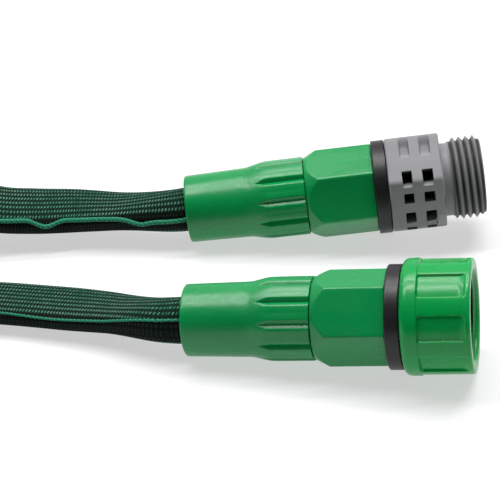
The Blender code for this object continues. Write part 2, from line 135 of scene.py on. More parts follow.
def catmull(knots: Array, steps: int) -> Array:
    """A Catmull-Rom curve through the knots.

    Each stretch is the cubic whose end slopes are half the vector between its neighbours.

    Args:
        knots: rows of x, y and z.
        steps: points on each stretch.

    Returns:
        Rows of x, y and z, from the first knot to the last.
    """
    padded = np.vstack([2 * knots[0] - knots[1], knots, 2 * knots[-1] - knots[-2]])
    a, b, c, d = (padded[i : len(padded) - 3 + i, None] for i in range(4))
    t = (np.arange(steps) / steps)[None, :, None]
    cubic = (-a + 3 * b - 3 * c + d) * t**3 + (2 * a - 5 * b + 4 * c - d) * t**2
    curve = 0.5 * (2 * b + (c - a) * t + cubic)
    return np.vstack([curve.reshape(-1, 3), knots[-1:]])


class Surface:
    """A grid of points that becomes one closed mesh object."""

    def __init__(self, name: str, points: Array, rings_closed: bool) -> None:
        """Keep a grid of rows by columns, whose columns always close into a ring.

        Args:
            name: the object's name.
            points: rows by columns by 3, in millimetres.
            rings_closed: whether the last row joins the first. If not, the ends get caps.
        """
        self.name = name
        self.points = points
        self.rings_closed = rings_closed
        self.uv: Array | None = None
        # painted shade per point where it is over 0, and painted glow where it is under 0
        self.shade: Array | None = None

    def quads(self) -> Array:
        """Corners of the grid's faces: each point, its next row, and both next columns.

        Returns:
            Four point numbers for each face.
        """
        rows, cols = self.points.shape[:2]
        row = np.arange(rows if self.rings_closed else rows - 1)[:, None]
        col = np.arange(cols)[None, :]
        below = (row + 1) % rows
        right = (col + 1) % cols
        corners = (row * cols + col, below * cols + col, below * cols + right, row * cols + right)
        return np.stack(corners, axis=-1).reshape(-1, 4)

    def faces_inwards(self, quads: Array) -> bool:
        """Whether the grid is inside out: the sum of its faces' signed cones is negative.

        Args:
            quads: four point numbers for each face.

        Returns:
            True when the faces have to be turned round.
        """
        flat = self.points.reshape(-1, 3)
        flat = flat - flat.mean(axis=0)
        a, b, c, d = (flat[quads[:, i]] for i in range(4))
        cones = np.einsum("ij,ij->", a, np.cross(b, c)) + np.einsum("ij,ij->", a, np.cross(c, d))
        return float(cones) < 0

    def build(self, material: bpy.types.Material, sharp: float = 50.0) -> bpy.types.Object:
        """Make the mesh object.

        Args:
            material: what the whole piece is made of.
            sharp: edges that turn by more degrees than this keep a crisp line.

        Returns:
            The object, at the origin with its place in its mesh.
        """
        rows, cols = self.points.shape[:2]
        quads = self.quads()
        inside_out = self.faces_inwards(quads)
        corners = quads[:, ::-1] if inside_out else quads
        loops = [corners.reshape(-1)]
        totals = [np.full(len(quads), 4)]
        if not self.rings_closed:
            first = np.arange(cols)
            last = (rows - 1) * cols + np.arange(cols)
            caps = (first[::-1], last) if inside_out else (first, last[::-1])
            loops += list(caps)
            totals.append(np.full(2, cols))
        loop_corners = np.concatenate(loops).astype(np.int32)
        loop_totals = np.concatenate(totals).astype(np.int32)
        mesh = bpy.data.meshes.new(self.name)
        mesh.vertices.add(rows * cols)
        mesh.vertices.foreach_set("co", (self.points * MM).astype(np.float32).reshape(-1))
        mesh.loops.add(len(loop_corners))
        mesh.loops.foreach_set("vertex_index", loop_corners)
        mesh.polygons.add(len(loop_totals))
        starts = (np.cumsum(loop_totals) - loop_totals).astype(np.int32)
        mesh.polygons.foreach_set("loop_start", starts)
        mesh.polygons.foreach_set("loop_total", loop_totals)
        mesh.update(calc_edges=True)
        mesh.validate()
        if self.uv is not None:
            self.write_uv(mesh, inside_out, len(loop_corners))
        # the painted shade and glow go onto the mesh as its "shade" attribute
        if self.shade is not None:
            layer = mesh.attributes.new("shade", "FLOAT", "POINT")
            layer.data.foreach_set("value", self.shade.astype(np.float32).reshape(-1))
        mesh.materials.append(material)
        mesh.shade_smooth()
        mesh.set_sharp_from_angle(angle=math.radians(sharp))
        obj = bpy.data.objects.new(self.name, mesh)
        bpy.context.scene.collection.objects.link(obj)
        return obj

    def write_uv(self, mesh: bpy.types.Mesh, inside_out: bool, loop_count: int) -> None:
        """Give each face corner its own UV, so that the seam column keeps both of its values.

        Args:
            mesh: the mesh that was just made.
            inside_out: whether the faces were turned round.
            loop_count: how many face corners the mesh has.
        """
        rows, cols = self.points.shape[:2]
        row = np.arange(rows - 1)[:, None]
        col = np.arange(cols)[None, :]
        wide = cols + 1
        here, below = row * wide + col, (row + 1) * wide + col
        index = np.stack((here, below, below + 1, here + 1), axis=-1).reshape(-1, 4)
        index = index[:, ::-1] if inside_out else index
        values = self.uv.reshape(-1, 2)[index.reshape(-1)]
        padded = np.zeros((loop_count, 2))
        padded[: len(values)] = values
        layer = mesh.uv_layers.new(name="weave")
        layer.data.foreach_set("uv", padded.astype(np.float32).reshape(-1))


# ---------------------------------------------------------------- finishes


class Nodes:
    """A short way to write a material's nodes."""

    def __init__(self, name: str) -> None:
        """Start a material with one Principled shader.

        Args:
            name: the material's name.
        """
        self.material = bpy.data.materials.new(name)
        self.material.use_nodes = True
        self.tree = self.material.node_tree
        self.shader = self.tree.nodes["Principled BSDF"]

    def add(self, kind: str, **settings: object) -> bpy.types.Node:
        """Add a node and set its properties.

        Args:
            kind: the node's type.
            settings: the properties to set, by name.

        Returns:
            The node.
        """
        node = self.tree.nodes.new(kind)
        for key, value in settings.items():
            setattr(node, key, value)
        return node

    def link(self, source: Socket, target: Socket) -> None:
        """Join two sockets."""
        self.tree.links.new(source, target)

    def maths(self, operation: str, *values: float | Socket) -> Socket:
        """One Math node.

        Args:
            operation: what it works out.
            values: its inputs, as numbers or sockets.

        Returns:
            The socket with its result.
        """
        node = self.add("ShaderNodeMath", operation=operation)
        for socket, value in zip(node.inputs, values):
            if isinstance(value, (int, float)):
                socket.default_value = value
            else:
                self.link(value, socket)
        return node.outputs[0]

    def remap(self, value: Socket, low: float, high: float, to_low: float, to_high: float) -> Socket:
        """A smooth Map Range.

        Args:
            value: the socket to map.
            low: the value that becomes to_low.
            high: the value that becomes to_high.
            to_low: the result at low and below.
            to_high: the result at high and above.

        Returns:
            The socket with the result.
        """
        node = self.add("ShaderNodeMapRange", interpolation_type="SMOOTHSTEP")
        self.link(value, node.inputs["Value"])
        node.inputs["From Min"].default_value = low
        node.inputs["From Max"].default_value = high
        node.inputs["To Min"].default_value = to_low
        node.inputs["To Max"].default_value = to_high
        return node.outputs["Result"]

    def mix(self, share: float | Socket, first: Triple | Socket, second: Triple | Socket) -> Socket:
        """Blend two colours.

        Args:
            share: how much of the second colour there is, as a number or a socket.
            first: the colour at 0, as a tuple or a socket.
            second: the colour at 1, as a tuple or a socket.

        Returns:
            The socket with the blend.
        """
        node = self.add("ShaderNodeMix", data_type="RGBA")
        colour_inputs = [socket for socket in node.inputs if socket.type == "RGBA"]
        for socket, value in zip(colour_inputs, (first, second)):
            if isinstance(value, tuple):
                socket.default_value = (*value, 1.0)
            else:
                self.link(value, socket)
        if isinstance(share, (int, float)):
            node.inputs["Factor"].default_value = share
        else:
            self.link(share, node.inputs["Factor"])
        return next(socket for socket in node.outputs if socket.type == "RGBA")

    def noise(self, scale: float, detail: float, stretch: Triple = (1.0, 1.0, 1.0)) -> Socket:
        """Noise on object coordinates, in metres.

        Args:
            scale: lumps in a metre.
            detail: how many finer layers it has.
            stretch: how much finer it is along each axis.

        Returns:
            The socket with values from 0 to 1.
        """
        place = self.add("ShaderNodeTexCoord").outputs["Object"]
        mapping = self.add("ShaderNodeMapping")
        mapping.inputs["Scale"].default_value = stretch
        self.link(place, mapping.inputs["Vector"])
        texture = self.add("ShaderNodeTexNoise")
        texture.inputs["Scale"].default_value = scale
        texture.inputs["Detail"].default_value = detail
        self.link(mapping.outputs["Vector"], texture.inputs["Vector"])
        return texture.outputs["Fac"]

    def bump(self, height: Socket, strength: float, distance: float) -> None:
        """Drive the shader's normal from a height.

        Args:
            height: the socket with the height, from 0 to 1.
            strength: how much of the effect is used.
            distance: the height of 1, in metres.
        """
        node = self.add("ShaderNodeBump")
        node.inputs["Strength"].default_value = strength
        node.inputs["Distance"].default_value = distance
        self.link(height, node.inputs["Height"])
        self.link(node.outputs["Normal"], self.shader.inputs["Normal"])


@dataclass(frozen=True)
class Moulding:
    """Injection-moulded plastic: faint flow marks, a fine grain and edges that rub lighter."""

    name: str
    colour: Triple
    worn: Triple
    roughness: float
    grain: float = 0.25
    translucent: float = 0.0
    gloss: float = 0.32
    # painted glow: the colour laid on the inside of a thin wall, for light that comes through the plastic
    inner: Triple = (0.12, 0.72, 0.02)
    # painted shade: the near-black laid into recesses that lie in shade
    painted_shade: Triple = (0.004, 0.004, 0.005)

    def material(self) -> bpy.types.Material:
        """Noise drawn out along the mould for the flow, and a lighter tone where the surface is pointed.

        The piece's own "shade" value is painted shade, laid dark into its recesses where it is over 0, and
        a painted glow, standing for light through the plastic, on the inside of a thin wall where it is
        under 0.

        Returns:
            The material.
        """
        nodes = Nodes(self.name)
        flow = nodes.noise(60.0, 3.0, (0.35, 1.0, 1.0))
        deep = tuple(0.86 * part for part in self.colour)
        body = nodes.mix(nodes.remap(flow, 0.3, 0.7, 0.0, 1.0), deep, self.colour)
        edge = nodes.add("ShaderNodeNewGeometry").outputs["Pointiness"]
        rub = nodes.maths("MULTIPLY", nodes.remap(edge, 0.54, 0.66, 0.0, 0.2), nodes.noise(500.0, 4.0))
        # the "shade" attribute: painted shade where it is over 0, painted glow where it is under 0
        painted_shade = nodes.add("ShaderNodeAttribute", attribute_name="shade").outputs["Fac"]
        rubbed = nodes.mix(rub, body, self.worn)
        lit = nodes.mix(nodes.maths("MULTIPLY", painted_shade, -1.0), rubbed, self.inner)
        surface = nodes.mix(painted_shade, lit, self.painted_shade)
        nodes.link(surface, nodes.shader.inputs["Base Color"])
        smear = nodes.noise(140.0, 5.0, (0.5, 1.2, 1.2))
        rough = nodes.remap(smear, 0.25, 0.75, self.roughness - 0.05, self.roughness + 0.08)
        nodes.link(rough, nodes.shader.inputs["Roughness"])
        nodes.bump(nodes.noise(3200.0, 3.0), self.grain, 0.0001)
        nodes.shader.inputs["Specular IOR Level"].default_value = self.gloss
        if self.translucent:
            nodes.shader.inputs["Subsurface Weight"].default_value = self.translucent
            nodes.shader.inputs["Subsurface Radius"].default_value = (0.3, 1.0, 0.35)
            nodes.shader.inputs["Subsurface Scale"].default_value = 0.003
        return nodes.material


@dataclass(frozen=True)
class Rubber:
    """Matt black rubber with a fine bloom."""

    name: str
    colour: Triple = (0.018, 0.018, 0.019)
    bloom: Triple = (0.05, 0.05, 0.05)

    def material(self) -> bpy.types.Material:
        """Clouds of noise, paler and rougher where the bloom lies.

        Returns:
            The material.
        """
        nodes = Nodes(self.name)
        cloud = nodes.remap(nodes.noise(300.0, 6.0), 0.45, 0.8, 0.0, 1.0)
        nodes.link(nodes.mix(cloud, self.colour, self.bloom), nodes.shader.inputs["Base Color"])
        nodes.link(nodes.remap(cloud, 0.0, 1.0, 0.62, 0.85), nodes.shader.inputs["Roughness"])
        nodes.bump(nodes.noise(2500.0, 4.0), 0.3, 0.0001)
        return nodes.material


@dataclass(frozen=True)
class Weave:
    """Woven jacket on its own UV: u is the length and v the way round from the piping edge, in mm."""

    name: str = "woven_jacket"
    row_pitch: float = 2.1
    row_shift: float = 0.17
    pick_pitch: float = 1.04
    slant: float = 0.75
    first_row: float = 3.7
    ground: Triple = (0.003, 0.003, 0.0035)
    tint: Triple = (0.001, 0.038, 0.019)
    pick: Triple = (0.018, 0.15, 0.085)
    pale: Triple = (0.19, 0.29, 0.235)

    def material(self) -> bpy.types.Material:
        """Rows of short slanted picks, each an ellipse in its own cell, on fine ribs.

        A cell is one row high and one pick long. Each row is shifted against the last, and the picks
        lean the same way on both faces, so their lean has the sign of v.

        Returns:
            The material.
        """
        nodes = Nodes(self.name)
        split = nodes.add("ShaderNodeSeparateXYZ")
        nodes.link(nodes.add("ShaderNodeUVMap", uv_map="weave").outputs["UV"], split.inputs[0])
        length, girth = split.outputs["X"], nodes.maths("ABSOLUTE", split.outputs["Y"])
        face = nodes.maths("SIGN", split.outputs["Y"])
        row = nodes.maths("DIVIDE", nodes.maths("SUBTRACT", girth, self.first_row), self.row_pitch)
        across = nodes.maths("SUBTRACT", nodes.maths("FRACT", row), 0.5)
        shift = nodes.maths("MULTIPLY", nodes.maths("FLOOR", row), self.row_shift)
        lean = nodes.maths("MULTIPLY", nodes.maths("MULTIPLY", across, self.slant), face)
        turns = nodes.maths("DIVIDE", length, self.pick_pitch)
        phase = nodes.maths("ADD", nodes.maths("ADD", turns, shift), lean)
        along = nodes.maths("SUBTRACT", nodes.maths("FRACT", phase), 0.5)
        wide = nodes.maths("POWER", nodes.maths("DIVIDE", along, 0.24), 2.0)
        tall = nodes.maths("POWER", nodes.maths("DIVIDE", across, 0.27), 2.0)
        spot = nodes.remap(nodes.maths("ADD", wide, tall), 0.3, 1.25, 1.0, 0.0)
        on_face = nodes.remap(girth, self.first_row - 0.1, self.first_row + 0.1, 0.10, 1.0)
        spot = nodes.maths("MULTIPLY", spot, on_face)
        each = nodes.add("ShaderNodeTexWhiteNoise", noise_dimensions="2D")
        cell = nodes.add("ShaderNodeCombineXYZ")
        nodes.link(nodes.maths("FLOOR", phase), cell.inputs[0])
        nodes.link(nodes.maths("FLOOR", row), cell.inputs[1])
        nodes.link(cell.outputs[0], each.inputs["Vector"])
        patches = nodes.remap(nodes.noise(55.0, 2.0), 0.35, 0.65, 0.0, 0.75)
        paler = nodes.maths("MULTIPLY", nodes.maths("ADD", each.outputs["Value"], patches), 0.55)
        yarn = nodes.mix(paler, self.pick, self.pale)
        ribs = nodes.maths("ABSOLUTE", nodes.maths("SINE", nodes.maths("MULTIPLY", turns, math.pi)))
        band = nodes.remap(nodes.maths("ABSOLUTE", across), 0.2, 0.45, 1.0, 0.3)
        rib_tone = nodes.maths("MULTIPLY", nodes.remap(ribs, 0.0, 1.0, 0.5, 1.0), band)
        glow = nodes.maths("MULTIPLY", rib_tone, on_face)
        ground = nodes.mix(glow, self.ground, self.tint)
        nodes.link(nodes.mix(spot, ground, yarn), nodes.shader.inputs["Base Color"])
        nodes.shader.inputs["Roughness"].default_value = 0.85
        nodes.shader.inputs["Specular IOR Level"].default_value = 0.1
        nodes.shader.inputs["Sheen Weight"].default_value = 0.01
        nodes.shader.inputs["Sheen Roughness"].default_value = 0.5
        fibres = nodes.maths("MULTIPLY", nodes.noise(4000.0, 2.0), 0.3)
        raised = nodes.maths("MAXIMUM", spot, nodes.maths("MULTIPLY", ribs, 0.6))
        nodes.bump(nodes.maths("ADD", raised, fibres), 0.8, 0.0003)
        return nodes.material


@dataclass(frozen=True)
class Braid:
    """Braided cord on its own UV: strands that wind both ways round it, u along and v round, in mm."""

    name: str = "piping_braid"
    strand: float = 1.5
    light: Triple = (0.012, 0.24, 0.125)
    dark: Triple = (0.002, 0.07, 0.036)

    def material(self) -> bpy.types.Material:
        """Crossing diagonal stripes, rounded by a sine of u plus and minus v.

        Returns:
            The material.
        """
        nodes = Nodes(self.name)
        split = nodes.add("ShaderNodeSeparateXYZ")
        nodes.link(nodes.add("ShaderNodeUVMap", uv_map="weave").outputs["UV"], split.inputs[0])
        scale = math.pi / self.strand
        stripes = []
        for sign in (1.0, -1.0):
            across = nodes.maths("MULTIPLY", split.outputs["Y"], sign)
            leaning = nodes.maths("ADD", split.outputs["X"], across)
            wave = nodes.maths("SINE", nodes.maths("MULTIPLY", leaning, scale))
            stripes.append(nodes.maths("ABSOLUTE", wave))
        weave = nodes.maths("MAXIMUM", stripes[0], nodes.maths("MULTIPLY", stripes[1], 0.8))
        tone = nodes.remap(weave, 0.25, 1.0, 0.0, 1.0)
        nodes.link(nodes.mix(tone, self.dark, self.light), nodes.shader.inputs["Base Color"])
        nodes.shader.inputs["Roughness"].default_value = 0.6
        nodes.shader.inputs["Specular IOR Level"].default_value = 0.25
        nodes.bump(weave, 0.7, 0.0002)
        return nodes.material


@dataclass(frozen=True)
class Strap:
    """Hook-and-loop strap: felted loops on a woven tape."""

    name: str = "tie_strap"
    colour: Triple = (0.012, 0.012, 0.014)
    fuzz: Triple = (0.05, 0.05, 0.055)

    def material(self) -> bpy.types.Material:
        """Fine noise for the loops, which stand up by their height and catch a paler tone.

        Returns:
            The material.
        """
        nodes = Nodes(self.name)
        loops = nodes.noise(1500.0, 5.0)
        tone = nodes.remap(loops, 0.4, 0.7, 0.0, 1.0)
        nodes.link(nodes.mix(tone, self.colour, self.fuzz), nodes.shader.inputs["Base Color"])
        nodes.shader.inputs["Roughness"].default_value = 0.95
        nodes.shader.inputs["Sheen Weight"].default_value = 0.4
        nodes.bump(loops, 0.9, 0.0006)
        return nodes.material


@dataclass(frozen=True)
class PaleFloor:
    """Plain pale floor, lit from below a little, so that its shadows stay light."""

    colour: Triple = (0.38, 0.38, 0.38)
    lit: float = 0.55

    def material(self) -> bpy.types.Material:
        """One matt colour that gives some light of its own.

        Returns:
            The material.
        """
        nodes = Nodes("pale_floor")
        nodes.shader.inputs["Base Color"].default_value = (*self.colour, 1.0)
        nodes.shader.inputs["Roughness"].default_value = 0.9
        nodes.shader.inputs["Specular IOR Level"].default_value = 0.1
        nodes.shader.inputs["Emission Color"].default_value = (1.0, 1.0, 1.0, 1.0)
        nodes.shader.inputs["Emission Strength"].default_value = self.lit
        return nodes.material


class Finish(Enum):
    """Every finish on the hose."""

    GREEN = Moulding("green_moulding", (0.0, 0.245, 0.060), (0.04, 0.40, 0.16), 0.26, 0.45, 0.06, 0.42)
    NUT = Moulding("nut_moulding", (0.0, 0.300, 0.060), (0.0, 0.34, 0.08), 0.25, 0.15, 0.35)
    GREY = Moulding("grey_moulding", (0.245, 0.245, 0.253), (0.40, 0.40, 0.41), 0.50, 0.5, 0.0, 0.15)
    BLACK = Moulding("black_ring", (0.012, 0.011, 0.013), (0.05, 0.045, 0.05), 0.36, 0.3)
    NATURAL = Moulding("natural_plastic", (0.62, 0.61, 0.56), (0.75, 0.74, 0.70), 0.42, 0.2, 0.1)
    SEAL = Rubber("seal_rubber")
    LINER = Rubber("hose_liner")
    JACKET = Weave()
    PIPING = Braid()
    STRAP = Strap()

    def material(self) -> bpy.types.Material:
        """The finish's material, made once and then kept.

        Returns:
            The material.
        """
        if self not in MADE:
            MADE[self] = self.value.material()
        return MADE[self]


MADE: dict[Finish, bpy.types.Material] = {}


# ---------------------------------------------------------------- couplings


@dataclass(frozen=True)
class Axis:
    """A coupling's axis: the mouth of its tail, and three unit vectors."""

    origin: Array
    along: Array
    side: Array
    up: Array

    @classmethod
    def through(cls, ring_node: str, ring_middle: float, direction: list[float]) -> "Axis":
        """The axis through the middle of a turned ring.

        Args:
            ring_node: a CAD node that is round about the axis.
            ring_middle: how far its middle is from the mouth of the tail.
            direction: the axis in the row's frame, towards the threaded end.

        Returns:
            The axis, whose side vector is level.
        """
        low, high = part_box(ring_node)
        middle = np.array((low + high) / 2) / MM
        along = np.array(direction, float)
        along /= np.linalg.norm(along)
        side = np.cross((0.0, 0.0, 1.0), along)
        side /= np.linalg.norm(side)
        return cls(middle - ring_middle * along, along, side, np.cross(along, side))

    def point(self, x: float) -> Array:
        """A point on the axis at this distance from the mouth of the tail."""
        return self.origin + x * self.along

    def place(self, x: Array, angle: Array, radius: Array) -> Array:
        """Points round the axis.

        Args:
            x: distance along the axis.
            angle: degrees, 0 to the front and 90 upwards.
            radius: distance from the axis.

        Returns:
            The points, in the same grid as the three.
        """
        turn = np.radians(angle)
        out = -np.cos(turn)[..., None] * self.side + np.sin(turn)[..., None] * self.up
        return self.origin + x[..., None] * self.along + radius[..., None] * out


def hexagon(angle: Array, flats: float, corner: float, power: float) -> Array:
    """Radius of a hexagon with softened corners.

    It is half the width over the flats, times the sum over the six sides of cos(angle - side) to the
    power, to the power of -1/power: the larger the power, the crisper the corners.

    Args:
        angle: where, in degrees.
        flats: width over the flats.
        corner: the angle of one corner.
        power: crispness.

    Returns:
        The radius at each angle.
    """
    sides = corner + 30.0 + 60.0 * np.arange(6)
    cosines = np.clip(np.cos(np.radians(np.asarray(angle)[..., None] - sides)), 0.0, 1.0)
    return flats / 2 * (cosines**power).sum(axis=-1) ** (-1.0 / power)


EDGE_GAP = 0.1  # degrees from a sudden edge to the points on either side of it


def turned(
    name: str,
    axis: Axis,
    outline: list[Row] | Array,
    cols: int,
    spacing: float,
    shape: Callable[[Array, Array, Array], Array] | None = None,
    shade: Callable[[Array, Array, Array], Array] | None = None,
    edges: Array | None = None,
) -> Surface:
    """Carry a closed outline of (x, r, corner radius) rows round an axis.

    Args:
        name: the piece's name.
        axis: what it is turned about.
        outline: the section, with its corner radii.
        cols: evenly spaced points round the piece.
        spacing: the longest step along the outline.
        shape: an optional function of x, r and angle that gives the final radius.
        shade: an optional function of x, the final radius and angle that gives the painted shade of a
            recess, and a painted glow where it is under 0.
        edges: angles where the radius jumps, each of which gets two more points, just before and after.

    Returns:
        The surface, closed both ways.
    """
    section = dense(fillet(np.array(outline, float)), spacing)
    around = 360.0 * np.arange(cols) / cols
    if edges is not None:
        beside = [(edges - EDGE_GAP) % 360.0, (edges + EDGE_GAP) % 360.0]
        around = np.unique(np.concatenate([around, *beside]).round(3))
    angle = np.broadcast_to(around, (len(section), len(around)))
    x = np.broadcast_to(section[:, :1], angle.shape)
    radius = np.broadcast_to(section[:, 1:], angle.shape)
    if shape is not None:
        radius = shape(x, radius, angle)
    surface = Surface(name, axis.place(x, angle, radius), True)
    if shade is not None:
        surface.shade = shade(x, radius, angle)
    return surface


@dataclass(frozen=True)
class HoseThread:
    """Garden hose thread, 3/4-11.5 NH: a right-handed helix."""

    pitch: float = 25.4 / 11.5
    major: float = 26.99 / 2
    depth: float = 1.4

    @property
    def root(self) -> float:
        """Radius at the bottom of the outside thread."""
        return self.major - self.depth

    def wave(self, x: Array, angle: Array, start: float) -> Array:
        """Share of the full height: a triangle wave of the turns from start, cut flat at crest and root."""
        return np.clip(1.14 * ridge((x - start) / self.pitch + angle / 360.0) - 0.09, 0.0, 1.0)


@dataclass
class Coupling:
    """What both couplings share: sleeve, hex body, ring, stem, collet and seals."""

    side: str
    axis: Axis
    hex_turn: float
    grip_turn: float = 26.0
    tail_r: float = 11.0
    neck_r: float = 11.4
    grip_r: float = 12.85
    sleeve_bore: float = 9.3
    spigot_r: float = 9.9
    tail_length: float = 20.5
    flare_end: float = 26.5
    sleeve_end: float = 39.42
    hex_start: float = 39.6
    hex_end: float = 62.0
    hex_flats: float = 25.6
    ring_start: float = 61.98
    ring_end: float = 66.38
    body_start: float = 66.5
    ring_r: float = 15.5
    boss_r: float = 7.7
    stem_r: float = 4.8
    stem_bore: float = 3.6
    barb_r: float = 5.4
    fit: float = 0.3
    grooves: int = 11
    groove_depth: float = 1.05
    groove_width: float = 2.7
    crown: float = 0.16
    barb_pitch: float = 5.2
    stem_inset: float = 8.0
    seat_depth: float = 5.4
    cord_radius: float = 0.95

    def grip_shape(self, x: Array, radius: Array, angle: Array) -> Array:
        """Cut the flutes, with crowned lands between them.

        A flute is a V whose depth grows along the flare and falls off evenly to its sides. The crown
        falls off with the square of the distance from the middle of the V.

        Args:
            x: distance along the axis.
            radius: the outline's radius.
            angle: degrees round the axis.

        Returns:
            The final radius.
        """
        across = np.radians(wrapped(angle - self.grip_turn, 360.0 / self.grooves)) * radius
        depth = self.groove_depth * smooth(self.tail_length + 2.2, self.flare_end + 0.8, x)
        slope = 2 * self.groove_depth / self.groove_width
        vee = np.clip(depth - np.abs(across) * slope, 0.0, None)
        land = math.pi * self.grip_r / self.grooves
        grown = smooth(self.tail_length + 3.0, self.flare_end + 1.5, x)
        crown = self.crown * grown * (np.abs(across) / land) ** 2
        outside = radius > self.spigot_r + 1.4
        return np.where(outside, radius - vee - crown, radius)

    def sleeve(self) -> Surface:
        """Tail, flare and fluted grip.

        Returns:
            The surface.
        """
        rise = self.grip_r - self.neck_r
        outline = [
            (0.0, self.tail_r, 0.9),
            (self.tail_length, self.neck_r, 5.0),
            (self.tail_length + 2.6, self.neck_r + 0.45 * rise, 1.4),
            (self.flare_end, self.grip_r - 0.05, 3.0),
            (self.sleeve_end, self.grip_r, 0.35),
            (self.sleeve_end, self.spigot_r + self.fit, 0.2),
            (self.flare_end - 2.0, self.spigot_r + self.fit, 0.5),
            (self.flare_end - 4.5, self.sleeve_bore, 0.5),
            (0.0, self.sleeve_bore, 0.8),
        ]
        return turned(f"{self.side}_sleeve", self.axis, outline, 264, 0.42, self.grip_shape)

    def hex_shape(self, x: Array, radius: Array, angle: Array) -> Array:
        """Hold the outside within a hexagon that pulls in at the far end, so its edges are rounded.

        Args:
            x: distance along the axis.
            radius: the outline's radius.
            angle: degrees round the axis.

        Returns:
            The final radius.
        """
        inset = 0.35 * smooth(self.hex_end - 0.4, self.hex_end, x) ** 2
        limit = hexagon(angle, self.hex_flats, self.hex_turn + 30.0, 70.0) - inset
        return np.where(radius > self.spigot_r + 0.6, np.minimum(radius, limit), radius)

    def hex_body(self) -> Surface:
        """Hexagonal body with a conical end, and the spigot inside the sleeve.

        Returns:
            The surface.
        """
        corner = self.hex_flats / math.sqrt(3)
        bore = self.stem_r + self.fit
        seat = bore + 2.2
        outline = [
            (self.flare_end + self.fit, self.spigot_r, 0.5),
            (self.hex_start, self.spigot_r, 0.0),
            (self.hex_start, self.grip_r - 0.5, 0.35),
            (self.hex_start + 5.0, corner + 0.15, 0.3),
            (self.hex_end, corner + 0.15, 0.0),
            (self.hex_end, seat, 0.2),
            (self.hex_end - self.seat_depth, seat, 0.2),
            (self.hex_end - self.seat_depth, bore, 0.2),
            (self.flare_end + self.fit, bore, 0.4),
        ]
        return turned(f"{self.side}_hex", self.axis, outline, 300, 0.33, self.hex_shape)

    def ring(self) -> Surface:
        """Black ring with rounded edges and a faint dip round its middle.

        Returns:
            The surface.
        """
        inner = self.boss_r + self.fit
        middle = (self.ring_start + self.ring_end) / 2
        outline = [
            (self.ring_start, self.ring_r, 0.55),
            (middle, self.ring_r - 0.06, 1.0),
            (self.ring_end, self.ring_r, 0.55),
            (self.ring_end, inner, 0.3),
            (self.ring_start, inner, 0.3),
        ]
        return turned(f"{self.side}_ring", self.axis, outline, 192, 0.4)

    def barbs(self) -> list[Row]:
        """The barbed end of the stem: three cones that widen away from the tip and drop back at once.

        Returns:
            Outline rows, tip first.
        """
        rows = [(self.stem_inset, self.stem_r, 0.3)]
        for index in range(3):
            crest = self.stem_inset + (index + 0.85) * self.barb_pitch
            rows += [(crest, self.barb_r, 0.05), (crest + 0.1, self.stem_r, 0.05)]
        return rows

    def stem(self, shoulder: list[Row]) -> Surface:
        """Barbed stem with a water way through it.

        Args:
            shoulder: outline rows of its far end, from the barbs outwards.

        Returns:
            The surface.
        """
        end = shoulder[-1][0]
        bore = [(end, self.stem_bore, 0.3), (self.stem_inset, self.stem_bore, 0.3)]
        return turned(f"{self.side}_stem", self.axis, self.barbs() + shoulder + bore, 96, 0.6)

    def sleeves_inside(self) -> list[tuple[Surface, Finish, str]]:
        """The hose's liner and the collet, which are plain sleeves.

        Returns:
            Each with its finish and its CAD node.
        """
        end = self.flare_end
        rows = (
            ("liner", 0.3, end, 5.7, 6.5, Finish.LINER, "liner_end"),
            ("collet", end - 15.5, end - 3.5, 7.9, 9.0, Finish.NATURAL, "collet"),
        )
        found = []
        for name, start, stop, inner, outer, finish, node in rows:
            outside = [(start, outer, 0.3), (stop, outer, 0.3)]
            outline = outside + [(stop, inner, 0.2), (start, inner, 0.2)]
            piece = turned(f"{self.side}_{name}", self.axis, outline, 96, 1.0)
            found.append((piece, finish, f"{self.side}_{node}"))
        return found

    def o_ring(self) -> Surface:
        """Round cord in its seat: a circle carried round the axis.

        Returns:
            The surface.
        """
        radius = self.cord_radius
        middle = (self.hex_end - self.seat_depth + self.fit + radius, self.stem_r + self.fit + radius)
        turn = 2 * math.pi * np.arange(24) / 24
        circle = (middle[0] + radius * np.cos(turn), middle[1] + radius * np.sin(turn), 0 * turn)
        return turned(f"{self.side}_o_ring_seal", self.axis, np.column_stack(circle), 96, 5.0)

    def dress(self) -> None:
        """Build the shared pieces and hand them to the frame."""
        side = self.side
        ring_node = "male_seal_ring" if side == "male" else "female_collar_ring"
        present(self.sleeve(), Finish.GREEN, "root", f"{side}_grip_sleeve", sharp=38.0)
        present(self.hex_body(), Finish.GREEN, "root", f"{side}_hex_body", sharp=25.0)
        present(self.ring(), Finish.BLACK, "root", ring_node)
        present(self.o_ring(), Finish.SEAL, "root", f"{side}_o_ring")
        for piece, finish, node in self.sleeves_inside():
            present(piece, finish, "root", node)


